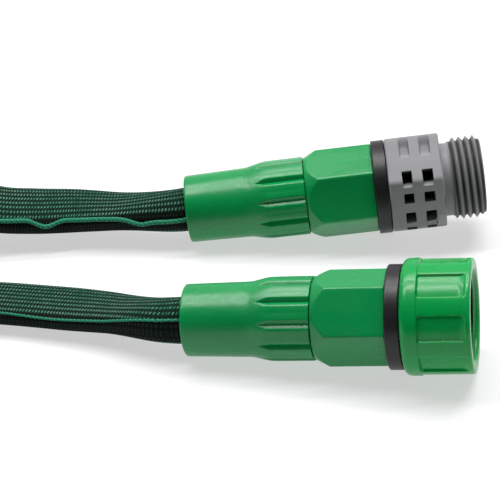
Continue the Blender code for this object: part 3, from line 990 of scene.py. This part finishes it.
@dataclass
class MaleEnd(Coupling):
    """The coupling that carries the grey block and the outside thread."""

    block_turn: float = 33.0
    block_flats: float = 30.2
    block_blank_r: float = 18.0
    block_end: float = 84.0
    neck_end: float = 86.4
    thread_end: float = 97.4
    neck_radius: float = 11.9
    outlet_r: float = 8.2
    pocket: float = 3.2
    columns: tuple[float, float] = (6.1, 12.8)
    scoop_depth: float = 1.25
    scoop: tuple[float, float] = (32.0, 59.5)
    block_edge: float = 0.5
    notch_length: float = 3.4
    notch_bearing: float = -62.0
    notch_half: float = 14.0
    thread: HoseThread = HoseThread()

    def rows(self) -> tuple[tuple[float, float, float, float], ...]:
        """Pockets by angle from the front corner.

        Returns:
            First and last angle, and the depth at each of the two.
        """
        return (
            (-1.0, 13.5, 4.2, 4.2),
            (-5.8, -1.0, 0.1, 3.4),
            (-26.5, -13.5, 4.2, 4.2),
            (-52.5, -39.5, 4.2, 4.2),
            (-66.0, -57.5, 2.6, 3.0),
        )

    def pockets(self, x: Array, angle: Array, surface: Array) -> Array:
        """How deep the block is cut, the same on both sides of it.

        A pocket is a box in x and angle. A scoop's depth rises and falls smoothly with the angle.

        Args:
            x: distance along the axis.
            angle: degrees round the axis.
            surface: the block's radius before it is cut.

        Returns:
            The depth at each point.
        """
        depth = np.zeros_like(surface)
        first_scoop, last_scoop = self.scoop
        for column in self.columns:
            inside = np.abs(x - self.body_start - column) < self.pocket / 2
            for base in (0.0, 180.0):
                local = wrapped(angle - self.block_turn - base, 360.0)
                for first, last, at_first, at_last in self.rows():
                    share = np.clip((local - first) / (last - first), 0.0, 1.0)
                    cut = at_first + (at_last - at_first) * share
                    depth = np.where(inside & (local >= first) & (local < last), cut, depth)
                rise = smooth(first_scoop, first_scoop + 10.0, local)
                fall = smooth(last_scoop, last_scoop - 9.5, local)
                in_scoop = inside & (local > first_scoop) & (local < last_scoop)
                depth = np.where(in_scoop, self.scoop_depth * rise * fall, depth)
        return depth

    def shape(self, x: Array, radius: Array, angle: Array) -> Array:
        """Hexagon with pockets, then a plain neck, then the thread, which starts and ends gradually.

        Args:
            x: distance along the axis.
            radius: the outline's radius.
            angle: degrees round the axis.

        Returns:
            The final radius.
        """
        near_edge = smooth(self.body_start + self.block_edge, self.body_start, x)
        far_edge = smooth(self.block_end - self.block_edge, self.block_end, x)
        edge = 0.9 * self.block_edge * (near_edge**2 + far_edge**2)
        surface = hexagon(angle, self.block_flats, self.block_turn, 42.0)
        off_notch = np.abs(wrapped(angle - self.block_turn - self.notch_bearing, 360.0))
        notch = (x > self.block_end - self.notch_length) & (off_notch < self.notch_half)
        surface = np.where(notch, np.minimum(surface, self.block_flats / 2 + 0.2), surface)
        depth = self.pockets(x, angle, surface)
        on_block = (x > self.body_start - 0.01) & (x < self.block_end + 0.01) & (radius > 15.0)
        block = surface - edge - depth
        start = self.neck_end - 0.2
        height = smooth(start, start + 2.2, x) * smooth(self.thread_end - 0.5, self.thread_end - 2.0, x)
        wave = self.thread.wave(x, angle, start + 1.0) * height
        on_thread = (x > start) & (radius > self.outlet_r + 2.0)
        return np.where(on_block, block, np.where(on_thread, radius + self.thread.depth * wave, radius))

    def painted_hollow_shade(self, x: Array, radius: Array, angle: Array) -> Array:
        """Painted shade in each recess: pockets from 0.9 to 2.2 mm deep, and the valleys of the thread.

        The ledge in a pocket and the scoops stay lighter.

        Args:
            x: distance along the axis.
            radius: the final radius.
            angle: degrees round the axis.

        Returns:
            Values from 0 to 1.
        """
        surface = hexagon(angle, self.block_flats, self.block_turn, 42.0)
        depth = self.pockets(x, angle, surface)
        local = wrapped(angle - self.block_turn, 180.0)
        ledge = (local > -6.5) & (local < -0.9)
        scoop = (local > 30.0) & (local < 62.0)
        # painted shade in the pockets, less of it on the ledge and in the scoops
        dark = smooth(0.9, 2.2, depth) * np.where(ledge, 0.25, 1.0)
        pocket = np.where(scoop, 0.12 * smooth(0.3, 1.2, depth), dark) * (radius > 9.0)
        # painted shade in the valleys of the thread
        below = smooth(self.thread.major - 0.1, self.thread.root + 0.05, radius)
        threaded = (x > self.neck_end + 0.6) & (x < self.thread_end - 0.3) & (radius > 11.0)
        return np.maximum(pocket, 0.88 * below * threaded)

    def threaded_end(self) -> Surface:
        """Boss, block, neck and thread in one moulding, with the water way through it.

        The block starts as a round blank that its corners fit in, and its shape brings it in from there.

        Returns:
            The surface.
        """
        root = self.thread.root
        bore = self.stem_r + self.fit
        outline = [
            (self.ring_start, self.boss_r, 0.3),
            (self.body_start, self.boss_r, 0.0),
            (self.body_start, self.block_blank_r, 0.0),
            (self.block_end, self.block_blank_r, 0.0),
            (self.block_end, self.neck_radius, 0.7),
            (self.neck_end - 0.2, self.neck_radius, 0.5),
            (self.neck_end + 0.6, root, 0.3),
            (self.thread_end, root, 0.7),
            (self.thread_end, self.outlet_r, 0.4),
            (self.body_start + 8.6, self.outlet_r, 0.5),
            (self.body_start + 6.8, bore, 0.3),
            (self.ring_start, bore, 0.4),
        ]
        jumps = np.unique([angle for row in self.rows() for angle in row[:2]])
        edges = np.concatenate([jumps, jumps + 180.0]) + self.block_turn
        return turned("male_block", self.axis, outline, 180, 0.235, self.shape, self.painted_hollow_shade, edges)

    def build(self) -> None:
        """Build the male end's own pieces and the shared ones."""
        self.dress()
        present(self.threaded_end(), Finish.GREY, "root", "male_thread_end", sharp=32.0)
        end = self.body_start + 6.5
        present(self.stem([(end, self.stem_r, 0.3)]), Finish.NATURAL, "root", "male_barb_stem")


@dataclass
class FemaleEnd(Coupling):
    """The coupling that carries the swivel nut."""

    nut_turn: float = 22.0
    nut_r: float = 17.2
    flange_r: float = 17.55
    nut_length: float = 20.8
    flange: float = 5.0
    rim: float = 1.4
    panels: int = 8
    panel_span: float = 27.4
    panel_depth: float = 0.75
    panel_corner: float = 0.9
    socket_start: float = 9.0
    throat: float = 3.0
    retaining_r: float = 11.7
    thread: HoseThread = HoseThread()

    @property
    def nut_end(self) -> float:
        """Where the nut's mouth is."""
        return self.body_start + self.nut_length

    @property
    def washer_start(self) -> float:
        """Where the washer begins: just past the flange of the stem."""
        return self.body_start + self.throat + 2.6

    def nut_shape(self, x: Array, radius: Array, angle: Array) -> Array:
        """Sink the panels outside, and cut the thread inside.

        A panel is a rectangle with round corners in x and arc length. Its depth rises smoothly within
        a third of a millimetre of its outline.

        Args:
            x: distance along the axis.
            radius: the outline's radius.
            angle: degrees round the axis.

        Returns:
            The final radius.
        """
        across = np.radians(wrapped(angle - self.nut_turn, 360.0 / self.panels)) * self.nut_r
        first, last = self.body_start + self.flange + 0.1, self.nut_end - self.rim
        half_x, half_y = (last - first) / 2, math.radians(self.panel_span / 2) * self.nut_r
        corner = self.panel_corner
        dx = np.abs(x - (first + last) / 2) - half_x + corner
        dy = np.abs(across) - half_y + corner
        outside = np.hypot(np.clip(dx, 0.0, None), np.clip(dy, 0.0, None))
        distance = outside + np.minimum(np.maximum(dx, dy), 0.0) - corner
        fade = 0.35 + 0.65 * smooth(last + 0.2, last - 2.2, x)
        sunk = radius - self.panel_depth * smooth(0.05, -0.38, distance) * fade
        start = self.body_start + self.socket_start + self.fit
        inner = (radius > 12.9) & (radius < 14.0)
        height = smooth(start, start + 1.2, x) * smooth(self.nut_end - 0.7, self.nut_end - 1.8, x)
        cut = radius - 1.25 * self.thread.wave(x, angle, start) * height
        return np.where(radius > 16.0, sunk, np.where(inner, cut, radius))

    def mouth_shade(self, x: Array, radius: Array, angle: Array) -> Array:
        """The inside lies in shade, and the thin wall of the mouth lets a little light through.

        Args:
            x: distance along the axis.
            radius: the final radius.
            angle: degrees round the axis, which makes no difference here.

        Returns:
            Over 0 where it is dark, and a little under 0 at the rim.
        """
        inner = smooth(15.9, 15.2, radius) * (radius > 12.0)
        return 0.45 * inner - 0.5 * inner * smooth(self.nut_end - 2.0, self.nut_end - 0.6, x)

    def nut(self) -> Surface:
        """Swivel nut: a rounded flange, panels, a thin rim and a threaded socket.

        Returns:
            The surface.
        """
        root = self.thread.major + 0.15
        start, end = self.body_start, self.nut_end
        socket = self.retaining_r + self.fit
        outline = [
            (start, self.flange_r - 0.1, 2.6),
            (start + self.flange, self.flange_r, 0.3),
            (start + self.flange + 0.15, self.nut_r, 0.1),
            (end, self.nut_r, 0.8),
            (end, root + 0.7, 0.5),
            (end - 0.8, root, 0.2),
            (start + self.socket_start, root, 0.1),
            (start + self.socket_start, socket, 0.1),
            (start + self.throat, socket, 0.3),
            (start + self.throat, self.boss_r + self.fit, 0.3),
            (start, self.boss_r + self.fit, 0.3),
        ]
        return turned("female_nut", self.axis, outline, 344, 0.26, self.nut_shape, self.mouth_shade)

    def washer(self) -> Surface:
        """Inlet washer with two raised sealing beads.

        Returns:
            The surface.
        """
        start = self.washer_start
        end = start + 3.0
        outline = [
            (start, self.retaining_r, 0.5),
            (end - 0.2, self.retaining_r, 0.5),
            (end - 0.2, 11.0, 0.1),
            (end, 10.7, 0.2),
            (end - 0.2, 10.4, 0.1),
            (end - 0.2, 9.0, 0.1),
            (end, 8.7, 0.2),
            (end - 0.2, 8.4, 0.1),
            (end - 0.2, 7.5, 0.3),
            (start, 7.5, 0.3),
        ]
        return turned("washer", self.axis, outline, 128, 0.5)

    def restrictor(self) -> Surface:
        """Flow restrictor: a dished disc with a rim round one small hole.

        Returns:
            The surface.
        """
        middle = self.washer_start + 1.5
        outline = [
            (middle - 1.0, 7.2, 0.2),
            (middle + 1.0, 7.2, 0.3),
            (middle + 1.0, 6.2, 0.2),
            (middle + 0.3, 5.8, 0.3),
            (middle + 0.3, 2.4, 0.3),
            (middle + 1.0, 2.1, 0.2),
            (middle + 1.0, 1.2, 0.2),
            (middle - 1.0, 1.2, 0.2),
        ]
        return turned("restrictor", self.axis, outline, 96, 0.5)

    def build(self) -> None:
        """Build the female end's own pieces and the shared ones."""
        self.dress()
        flange = self.body_start + self.throat + self.fit
        shoulder = [
            (self.ring_start, self.stem_r, 0.1),
            (self.ring_start, self.boss_r, 0.2),
            (flange, self.boss_r, 0.1),
            (flange, self.retaining_r, 0.3),
            (flange + 2.0, self.retaining_r, 0.3),
        ]
        present(self.stem(shoulder), Finish.NATURAL, "root", "female_barb_stem")
        present(self.nut(), Finish.NUT, "swivel", "swivel_nut", sharp=32.0)
        present(self.washer(), Finish.SEAL, "swivel", "inlet_washer")
        present(self.restrictor(), Finish.NATURAL, "swivel", "flow_restrictor")


def present(
    piece: Surface, finish: Finish, body: str, *nodes: str, sharp: float = 50.0
) -> bpy.types.Object:
    """Build a piece and hand it to the frame.

    Args:
        piece: the surface.
        finish: what it is made of.
        body: the CAD body that it moves with.
        nodes: the CAD nodes that it stands for.
        sharp: the angle past which its edges stay crisp.

    Returns:
        The object.
    """
    obj = piece.build(finish.material(), sharp)
    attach(obj, body)
    if nodes:
        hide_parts(*nodes)
    rows, cols = piece.points.shape[:2]
    LOG.info("%s: %d by %d points, %s, on %s", piece.name, rows, cols, finish.value.name, body)
    return obj


# ---------------------------------------------------------------- hose


@dataclass
class WovenHose:
    """The flat woven hose, from one tail through the coil to the other."""

    female: Axis
    male: Axis
    length: float = 7620.0
    width: float = 19.5
    lying: float = 8.2
    coiled: float = 6.5
    mouth: float = 14.4
    inside: float = 7.0
    girth: float = 47.3
    columns: int = 60
    seen: float = 92.0
    fine: float = 0.29
    coarse: float = 8.0
    rib: float = 0.05
    rib_pitch: float = 1.04
    turns: int = 17
    coil_hole: float = 35.0
    coil_first: float = -38.0
    coil_last: float = 58.0
    coil_step: float = 12.0
    coil_slack: Triple = (0.7, 0.4, 0.15)
    lead_in: Triple = (24.0, 1.0, 1.2)
    lead_out: Triple = (40.0, 1.5, 4.5)
    piping_cols: int = 12
    piping_radii: tuple[float, float] = (0.38, 0.70)
    strand: float = 1.5
    strap_bearings: Triple = (97.0, 180.0, 263.0)
    strap_width: float = 16.0
    strap_thick: float = 1.5
    strap_round: float = 3.0
    strap_slack: tuple[float, float] = (0.9, 0.3)

    def female_route(self) -> Array:
        """Listed points from the female tail to the coil.

        Returns:
            Rows of x, y and z.
        """
        return np.array(
            [
                (-58.0, -20.4, 9.9),
                (-70.5, -12.9, 7.4),
                (-82.0, -7.9, 5.9),
                (-94.5, -4.2, 5.3),
                (-107.0, -1.5, 5.2),
                (-119.0, -1.5, 6.4),
                (-129.0, -4.2, 8.0),
            ]
        )

    def male_route(self) -> Array:
        """Listed points from the male tail to the coil.

        Returns:
            Rows of x, y and z.
        """
        return np.array(
            [
                (-58.5, 41.5, 10.1),
                (-73.0, 43.9, 9.3),
                (-86.0, 45.7, 9.0),
                (-99.0, 45.2, 9.8),
                (-111.0, 44.6, 11.4),
                (-122.0, 47.0, 13.8),
                (-130.5, 52.0, 16.5),
            ]
        )

    def coil_box(self) -> tuple[Array, Array]:
        """Lowest and highest corner of the solid that the coil fills, in millimetres."""
        low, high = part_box("hose_coil")
        return np.array(low) / MM, np.array(high) / MM

    def coil(self) -> Array:
        """Turns of the coil: inwards along the lower layer and outwards along the upper one.

        The radius falls evenly with the angle from the outermost turn to the innermost, and rises again.
        The height changes over half a turn at the inside. Room is left outside, inside, and above and
        below. At each end a lead is some degrees long, and swings out and drops by so many millimetres.

        Returns:
            Points a few degrees apart.
        """
        low, high = self.coil_box()
        centre = (low + high) / 2
        outside, inside, level = self.coil_slack
        outer = (high[0] - low[0]) / 2 - self.coiled / 2 - outside
        inner = self.coil_hole + self.coiled / 2 + inside
        bottom = low[2] + self.width / 2 + level
        top = high[2] - self.width / 2 - level
        first, last = self.coil_first, self.coil_last - 360.0 * self.turns
        sweep = first - last
        angle = np.arange(first, last - 1.0, -self.coil_step)
        share = (first - angle) / sweep
        middle = 90.0 / sweep
        in_length, in_swing, in_drop = self.lead_in
        out_length, out_swing, out_drop = self.lead_out
        start = smooth(in_length / sweep, 0.0, share)
        end = smooth(1.0 - out_length / sweep, 1.0, share)
        radius = inner + (outer - inner) * np.abs(2 * share - 1.0)
        radius = radius + in_swing * start + out_swing * end
        climb = smooth(0.5 - middle, 0.5 + middle, share)
        height = bottom + (top - bottom) * climb - in_drop * start - out_drop * end
        turn = np.radians(angle)
        across, back = centre[0] + radius * np.cos(turn), centre[1] + radius * np.sin(turn)
        return np.column_stack([across, back, height])

    def centreline(self) -> Array:
        """Closely spaced points along the whole hose, from inside one tail to inside the other.

        Returns:
            Rows of x, y and z.
        """
        out = -self.male.along
        knots = np.vstack(
            [
                self.female.point(self.inside),
                self.female.point(0.0),
                self.female.point(-4.0),
                self.female_route(),
                self.coil(),
                self.male_route()[::-1],
                self.male.point(0.0) + 4.0 * out,
                self.male.point(0.0),
                self.male.point(self.inside),
            ]
        )
        return catmull(knots, 60)

    def stations(self) -> tuple[Array, Array]:
        """Distances along the hose and the points there, close together where the hose is seen.

        Returns:
            The distances, and a point for each.
        """
        line = self.centreline()
        along = np.concatenate([[0.0], np.cumsum(np.linalg.norm(np.diff(line, axis=0), axis=1))])
        total = along[-1]
        near = np.arange(0.0, self.seen, self.fine)
        middle = np.linspace(self.seen, total - self.seen, int((total - 2 * self.seen) / self.coarse))
        at = np.concatenate([near, middle, total - near[::-1]])
        points = np.column_stack([np.interp(at, along, line[:, axis]) for axis in range(3)])
        return at, points

    def section(self, at: Array, total: float) -> tuple[Array, Array, Array, Array]:
        """Width, thickness, squareness and turn of the section at each distance.

        The hose is round in the tails, narrows just outside them as it flattens, and lies flat from
        there. It turns on edge before the coil, by 90 degrees at each end, the same way round.

        Args:
            at: distances along the hose.
            total: its whole length.

        Returns:
            Width, thickness, power of the superellipse, and turn in degrees.
        """
        # Each change eases between two distances from the mouth of the tail, in millimetres.
        from_female, from_male = at - self.inside, total - self.inside - at
        nearest = np.minimum(from_female, from_male)
        flat = smooth(-2.0, 26.0, nearest)
        wide = smooth(2.0, 44.0, nearest)
        put_away = smooth(62.0, 120.0, nearest)
        width = self.mouth + (self.width - self.mouth) * wide
        thin = smooth(8.0, 58.0, from_female) * smooth(400.0, 300.0, from_female)
        pressed = np.maximum(put_away, thin)
        thick = self.mouth + (self.lying - self.mouth) * flat + (self.coiled - self.lying) * pressed
        power = 2.0 + 0.7 * flat
        lean = 10.0 * smooth(10.0, 62.0, from_male)
        turn = 90.0 * smooth(64.0, 128.0, from_female) + (90.0 - lean) * smooth(128.0, 68.0, from_male)
        return width, thick, power, turn

    def ways(self, points: Array, turn: Array) -> tuple[Array, Array]:
        """Directions across the hose and out of its face, square to its run.

        With no turn the first is level and the second points up. The turn carries both round the run.

        Args:
            points: the centreline.
            turn: degrees at each point.

        Returns:
            The two unit vectors at each point.
        """
        tangent = np.gradient(points, axis=0)
        tangent /= np.linalg.norm(tangent, axis=1)[:, None]
        right = np.cross(tangent, (0.0, 0.0, 1.0))
        right /= np.linalg.norm(right, axis=1)[:, None]
        up = np.cross(right, tangent)
        radians = np.radians(turn)[:, None]
        cosine, sine = np.cos(radians), np.sin(radians)
        return cosine * right + sine * up, cosine * up - sine * right

    def outline(self, phi: Array, width: Array, thick: Array, power: Array) -> tuple[Array, Array]:
        """Superellipse: each half axis times the cosine or sine to the power 2/n, with its sign.

        Args:
            phi: angle round the section, in radians.
            width: the section's width.
            thick: its thickness.
            power: n.

        Returns:
            Distances across the section and out of its face.
        """
        cosine, sine = np.cos(phi), np.sin(phi)
        across = width / 2 * np.sign(cosine) * np.abs(cosine) ** (2 / power)
        out = thick / 2 * np.sign(sine) * np.abs(sine) ** (2 / power)
        return across, out

    def tube(self) -> tuple[Surface, Array]:
        """The jacket as one tube, with the ribs of its weave where it is seen.

        Returns:
            The surface with its UV, and the ring centres in metres.
        """
        at, points = self.stations()
        total = float(at[-1])
        width, thick, power, turn = self.section(at, total)
        phi = 2 * math.pi * np.arange(self.columns + 1)[None, :] / self.columns
        across, out = self.outline(phi, width[:, None], thick[:, None], power[:, None])
        steps = np.hypot(np.diff(across, axis=1), np.diff(out, axis=1))
        arc = np.concatenate([np.zeros((len(at), 1)), np.cumsum(steps, axis=1)], axis=1)
        round_share = 0.5 - arc / arc[:, -1:]
        uv = np.stack([np.broadcast_to(at[:, None], arc.shape), self.girth * round_share], axis=-1)
        in_view = smooth(self.seen, self.seen - 6.0, np.minimum(at, total - at))
        rib = (self.rib * np.abs(np.sin(math.pi * at / self.rib_pitch)) * in_view)[:, None]
        swell = 1 + rib / np.hypot(across, out)
        across, out = (across * swell)[:, :-1, None], (out * swell)[:, :-1, None]
        wide_way, face_way = self.ways(points, turn)
        grid = points[:, None] + across * wide_way[:, None] + out * face_way[:, None]
        surface = Surface("woven_hose", grid, False)
        surface.uv = uv
        return surface, points * MM

    def shoulder(self, at: Array, total: float) -> Array:
        """How far round from the edge the piping sits, in radians.

        It swaps faces along the coil. Where it was sewn unevenly it dips, by a bell curve at each such
        place. Distances are from the mouth of the tail, in millimetres.

        Args:
            at: distances along the hose.
            total: its whole length.

        Returns:
            The angle at each distance.
        """
        from_male = total - self.inside - at
        base = 0.62 - 1.24 * smooth(0.3, 0.7, at / total)
        at_male = 0.52 * smooth(42.0, 4.0, from_male)
        at_female = 0.16 * smooth(12.0, 34.0, at) * smooth(70.0, 50.0, at)
        first_dip = 0.42 * np.exp(-(((from_male - 48.0) / 4.0) ** 2))
        second_dip = 0.20 * np.exp(-(((from_male - 15.0) / 4.0) ** 2))
        ripple = 0.05 * np.sin(from_male / 4.7) * smooth(90.0, 70.0, from_male)
        return base + at_male - at_female + first_dip + second_dip + ripple

    def piping(self) -> Surface:
        """Braided cord along one edge: it rides on the shoulder of the section and wanders a little.

        Its centre stands off the section along the outward slope of the superellipse. Its radius swells
        with the sine of the turn round it plus the length, once for each strand, and it is thicker at
        the male end.

        Returns:
            The surface with its UV.
        """
        at, points = self.stations()
        total = float(at[-1])
        width, thick, power, turn = self.section(at, total)
        phi = math.pi - self.shoulder(at, total)
        thin, thick_cord = self.piping_radii
        radius = thin + (thick_cord - thin) * smooth(0.5, 0.95, at / total)
        across, out = self.outline(phi, width, thick, power)
        slope_across = np.sign(across) * np.abs(2 * across / width) ** (power - 1) / width
        slope_out = np.sign(out) * np.abs(2 * out / thick) ** (power - 1) / thick
        lift = 0.35 * radius / np.hypot(slope_across, slope_out)
        across, out = across + lift * slope_across, out + lift * slope_out
        wide_way, face_way = self.ways(points, turn)
        centre = points + across[:, None] * wide_way + out[:, None] * face_way
        spin = 2 * math.pi * np.arange(self.piping_cols + 1)[None, :] / self.piping_cols
        strands = 1.0 + 0.10 * np.abs(np.sin(1.5 * spin + math.pi * at[:, None] / self.strand))
        ring = radius[:, None] * strands
        right, up = self.ways(points, np.zeros(len(at)))
        level, rise = (ring * np.cos(spin))[..., None], (ring * np.sin(spin))[..., None]
        grid = centre[:, None] + level * right[:, None] + rise * up[:, None]
        surface = Surface("edge_piping", grid[:, :-1], False)
        surface.uv = np.stack([np.broadcast_to(at[:, None], ring.shape), ring * spin], axis=-1)
        return surface

    def strap(self, name: str, bearing: float) -> Surface:
        """A strap round the coil: a flat tape carried round a rounded rectangle.

        The rectangle reaches from the innermost turn to the outermost at its bearing, with some slack.

        Args:
            name: the strap's name.
            bearing: where it goes round the coil, in degrees.

        Returns:
            The surface.
        """
        low, high = self.coil_box()
        centre = (low + high) / 2
        out = np.array([math.cos(math.radians(bearing)), math.sin(math.radians(bearing)), 0.0])
        level = np.array([-out[1], out[0], 0.0])
        offsets = self.coil()[:, :2] - centre[:2]
        turned_to = np.degrees(np.arctan2(offsets[:, 1], offsets[:, 0]))
        at_strap = np.abs(wrapped(turned_to - bearing, 360.0)) < 0.6 * self.coil_step
        reach = np.linalg.norm(offsets[at_strap], axis=1)
        slack_inside, slack = self.strap_slack
        near, far = reach.min() - self.coiled / 2 - slack_inside, reach.max() + self.coiled / 2 + slack
        floor, top = self.strap_thick, high[2] + slack
        corners = ((near, floor), (far, floor), (far, top), (near, top))
        inner = dense(fillet(np.array([(*corner, self.strap_round) for corner in corners]), 8), 2.0)
        along = np.roll(inner, -1, axis=0) - np.roll(inner, 1, axis=0)
        along /= np.linalg.norm(along, axis=1)[:, None]
        normal = np.column_stack([along[:, 1], -along[:, 0]])
        half, thick = self.strap_width / 2, self.strap_thick
        section = [(-half, 0.0, 0.4), (half, 0.0, 0.4), (half, thick, 0.5), (-half, thick, 0.5)]
        tape = dense(fillet(np.array(section), 4), 1.6)[None]
        spread = inner[:, None] + tape[..., 1:] * normal[:, None]
        sideways = spread[..., :1] * out + tape[..., :1] * level
        return Surface(name, centre * (1, 1, 0) + sideways + spread[..., 1:] * (0, 0, 1), True)

    def build(self) -> None:
        tube, centres = self.tube()
        runs = ("hose_run_female", "hose_run_male", "hose_coil")
        ends = ("male_jacket_end", "female_jacket_end")
        hose = present(tube, Finish.JACKET, "root", *runs, *ends, sharp=180.0)
        piping = present(self.piping(), Finish.PIPING, "root", sharp=180.0)
        for index, bearing in enumerate(self.strap_bearings, 1):
            strap = self.strap(f"strap_{index}", bearing)
            present(strap, Finish.STRAP, "root", f"coil_tie_{index}")


# ---------------------------------------------------------------- stage


@dataclass
class Studio:
    """Camera, pale floor and soft light. The camera's target and distance are in millimetres."""

    target: Triple = (-28.1, 13.0, 11.9)
    distance: float = 640.0
    elevation: float = 33.09
    roll: float = -2.29
    lens: float = 144.7
    floor_reach: float = 4.0
    floor_drop: float = 0.0002
    front_light: float = 0.04
    back_light: float = 0.75

    def camera(self) -> None:
        """Look along +Y and down by the elevation, at a point between the couplings."""
        data = bpy.data.cameras.new("camera")
        data.lens = self.lens
        data.sensor_width = 36.0
        data.clip_start, data.clip_end = 0.01, 50.0
        camera = bpy.data.objects.new("camera", data)
        tilt = math.radians(self.elevation)
        back = Vector((0.0, -math.cos(tilt), math.sin(tilt)))
        look = Matrix.Rotation(math.pi / 2 - tilt, 4, "X")
        roll = Matrix.Rotation(math.radians(self.roll), 4, "Z")
        place = Matrix.Translation((Vector(self.target) + back * self.distance) * MM)
        camera.matrix_world = place @ (look @ roll)
        bpy.context.scene.collection.objects.link(camera)
        bpy.context.scene.camera = camera

    def floor(self) -> None:
        """A wide plain floor."""
        mesh = bpy.data.meshes.new("floor")
        signs = ((-1.0, -1.0), (1.0, -1.0), (1.0, 1.0), (-1.0, 1.0))
        corners = [(self.floor_reach * x, self.floor_reach * y, 0.0) for x, y in signs]
        mesh.from_pydata(corners, [], [(0, 1, 2, 3)])
        mesh.materials.append(PaleFloor().material())
        floor = bpy.data.objects.new("floor", mesh)
        floor.location = (0.0, 0.0, -self.floor_drop)
        bpy.context.scene.collection.objects.link(floor)

    def softbox(self, name: str, place: Triple, size: tuple[float, float], power: float) -> None:
        """A long area light that faces the couplings.

        Args:
            name: the light's name.
            place: where it hangs, in metres.
            size: its width and depth, in metres.
            power: in watts.
        """
        data = bpy.data.lights.new(name, "AREA")
        data.shape = "RECTANGLE"
        data.size, data.size_y = size
        data.energy = power
        light = bpy.data.objects.new(name, data)
        light.location = place
        light.rotation_euler = (-Vector(place)).to_track_quat("-Z", "Y").to_euler()
        bpy.context.scene.collection.objects.link(light)

    def sky(self) -> None:
        """A white backdrop behind the hose and above it, and a dim room in front."""
        world = bpy.data.worlds.new("studio")
        bpy.context.scene.world = world
        world.use_nodes = True
        tree = world.node_tree
        place = tree.nodes.new("ShaderNodeTexCoord")
        ramp = tree.nodes.new("ShaderNodeMapRange")
        ramp.inputs["To Min"].default_value = self.front_light
        ramp.inputs["To Max"].default_value = self.back_light
        lean = tree.nodes.new("ShaderNodeVectorMath")
        lean.operation = "DOT_PRODUCT"
        lean.inputs[1].default_value = (0.0, 0.75, 0.55)
        tree.links.new(place.outputs["Generated"], lean.inputs[0])
        tree.links.new(lean.outputs["Value"], ramp.inputs["Value"])
        tree.links.new(ramp.outputs["Result"], tree.nodes["Background"].inputs["Strength"])
        tree.nodes["Background"].inputs["Color"].default_value = (1.0, 1.0, 1.0, 1.0)

    def build(self) -> None:
        """Set the stage."""
        self.camera()
        self.floor()
        self.sky()
        self.softbox("near_strip", (-0.03, 0.12, 0.95), (1.3, 0.08), 9.0)
        self.softbox("far_strip", (-0.03, 0.42, 0.90), (1.3, 0.14), 8.0)
        bpy.context.scene.view_settings.view_transform = "Standard"


# ---------------------------------------------------------------- the whole hose


RING_MIDDLE = 64.25  # from the mouth of a tail to the middle of its coupling's ring


def main() -> None:
    """Build the stage, the hose and both couplings."""
    logging.basicConfig(level=logging.INFO, format="%(name)s: %(message)s")
    record = frame["record"]
    joint = next(item for item in frame["joints"] if item["name"] == "swivel_turn")
    male_mount = next(item for item in record["mounts"] if item["name"] == "male_seal_face")
    male_axis = Axis.through("male_seal_ring", RING_MIDDLE, male_mount["axis"])
    female_axis = Axis.through("female_collar_ring", RING_MIDDLE, joint["axis"])
    Studio().build()
    WovenHose(female_axis, male_axis).build()
    MaleEnd("male", male_axis, hex_turn=20.0, ring_r=15.3).build()
    FemaleEnd("female", female_axis, hex_turn=41.6, ring_r=15.8).build()


if __name__ == "__main__":
    main()
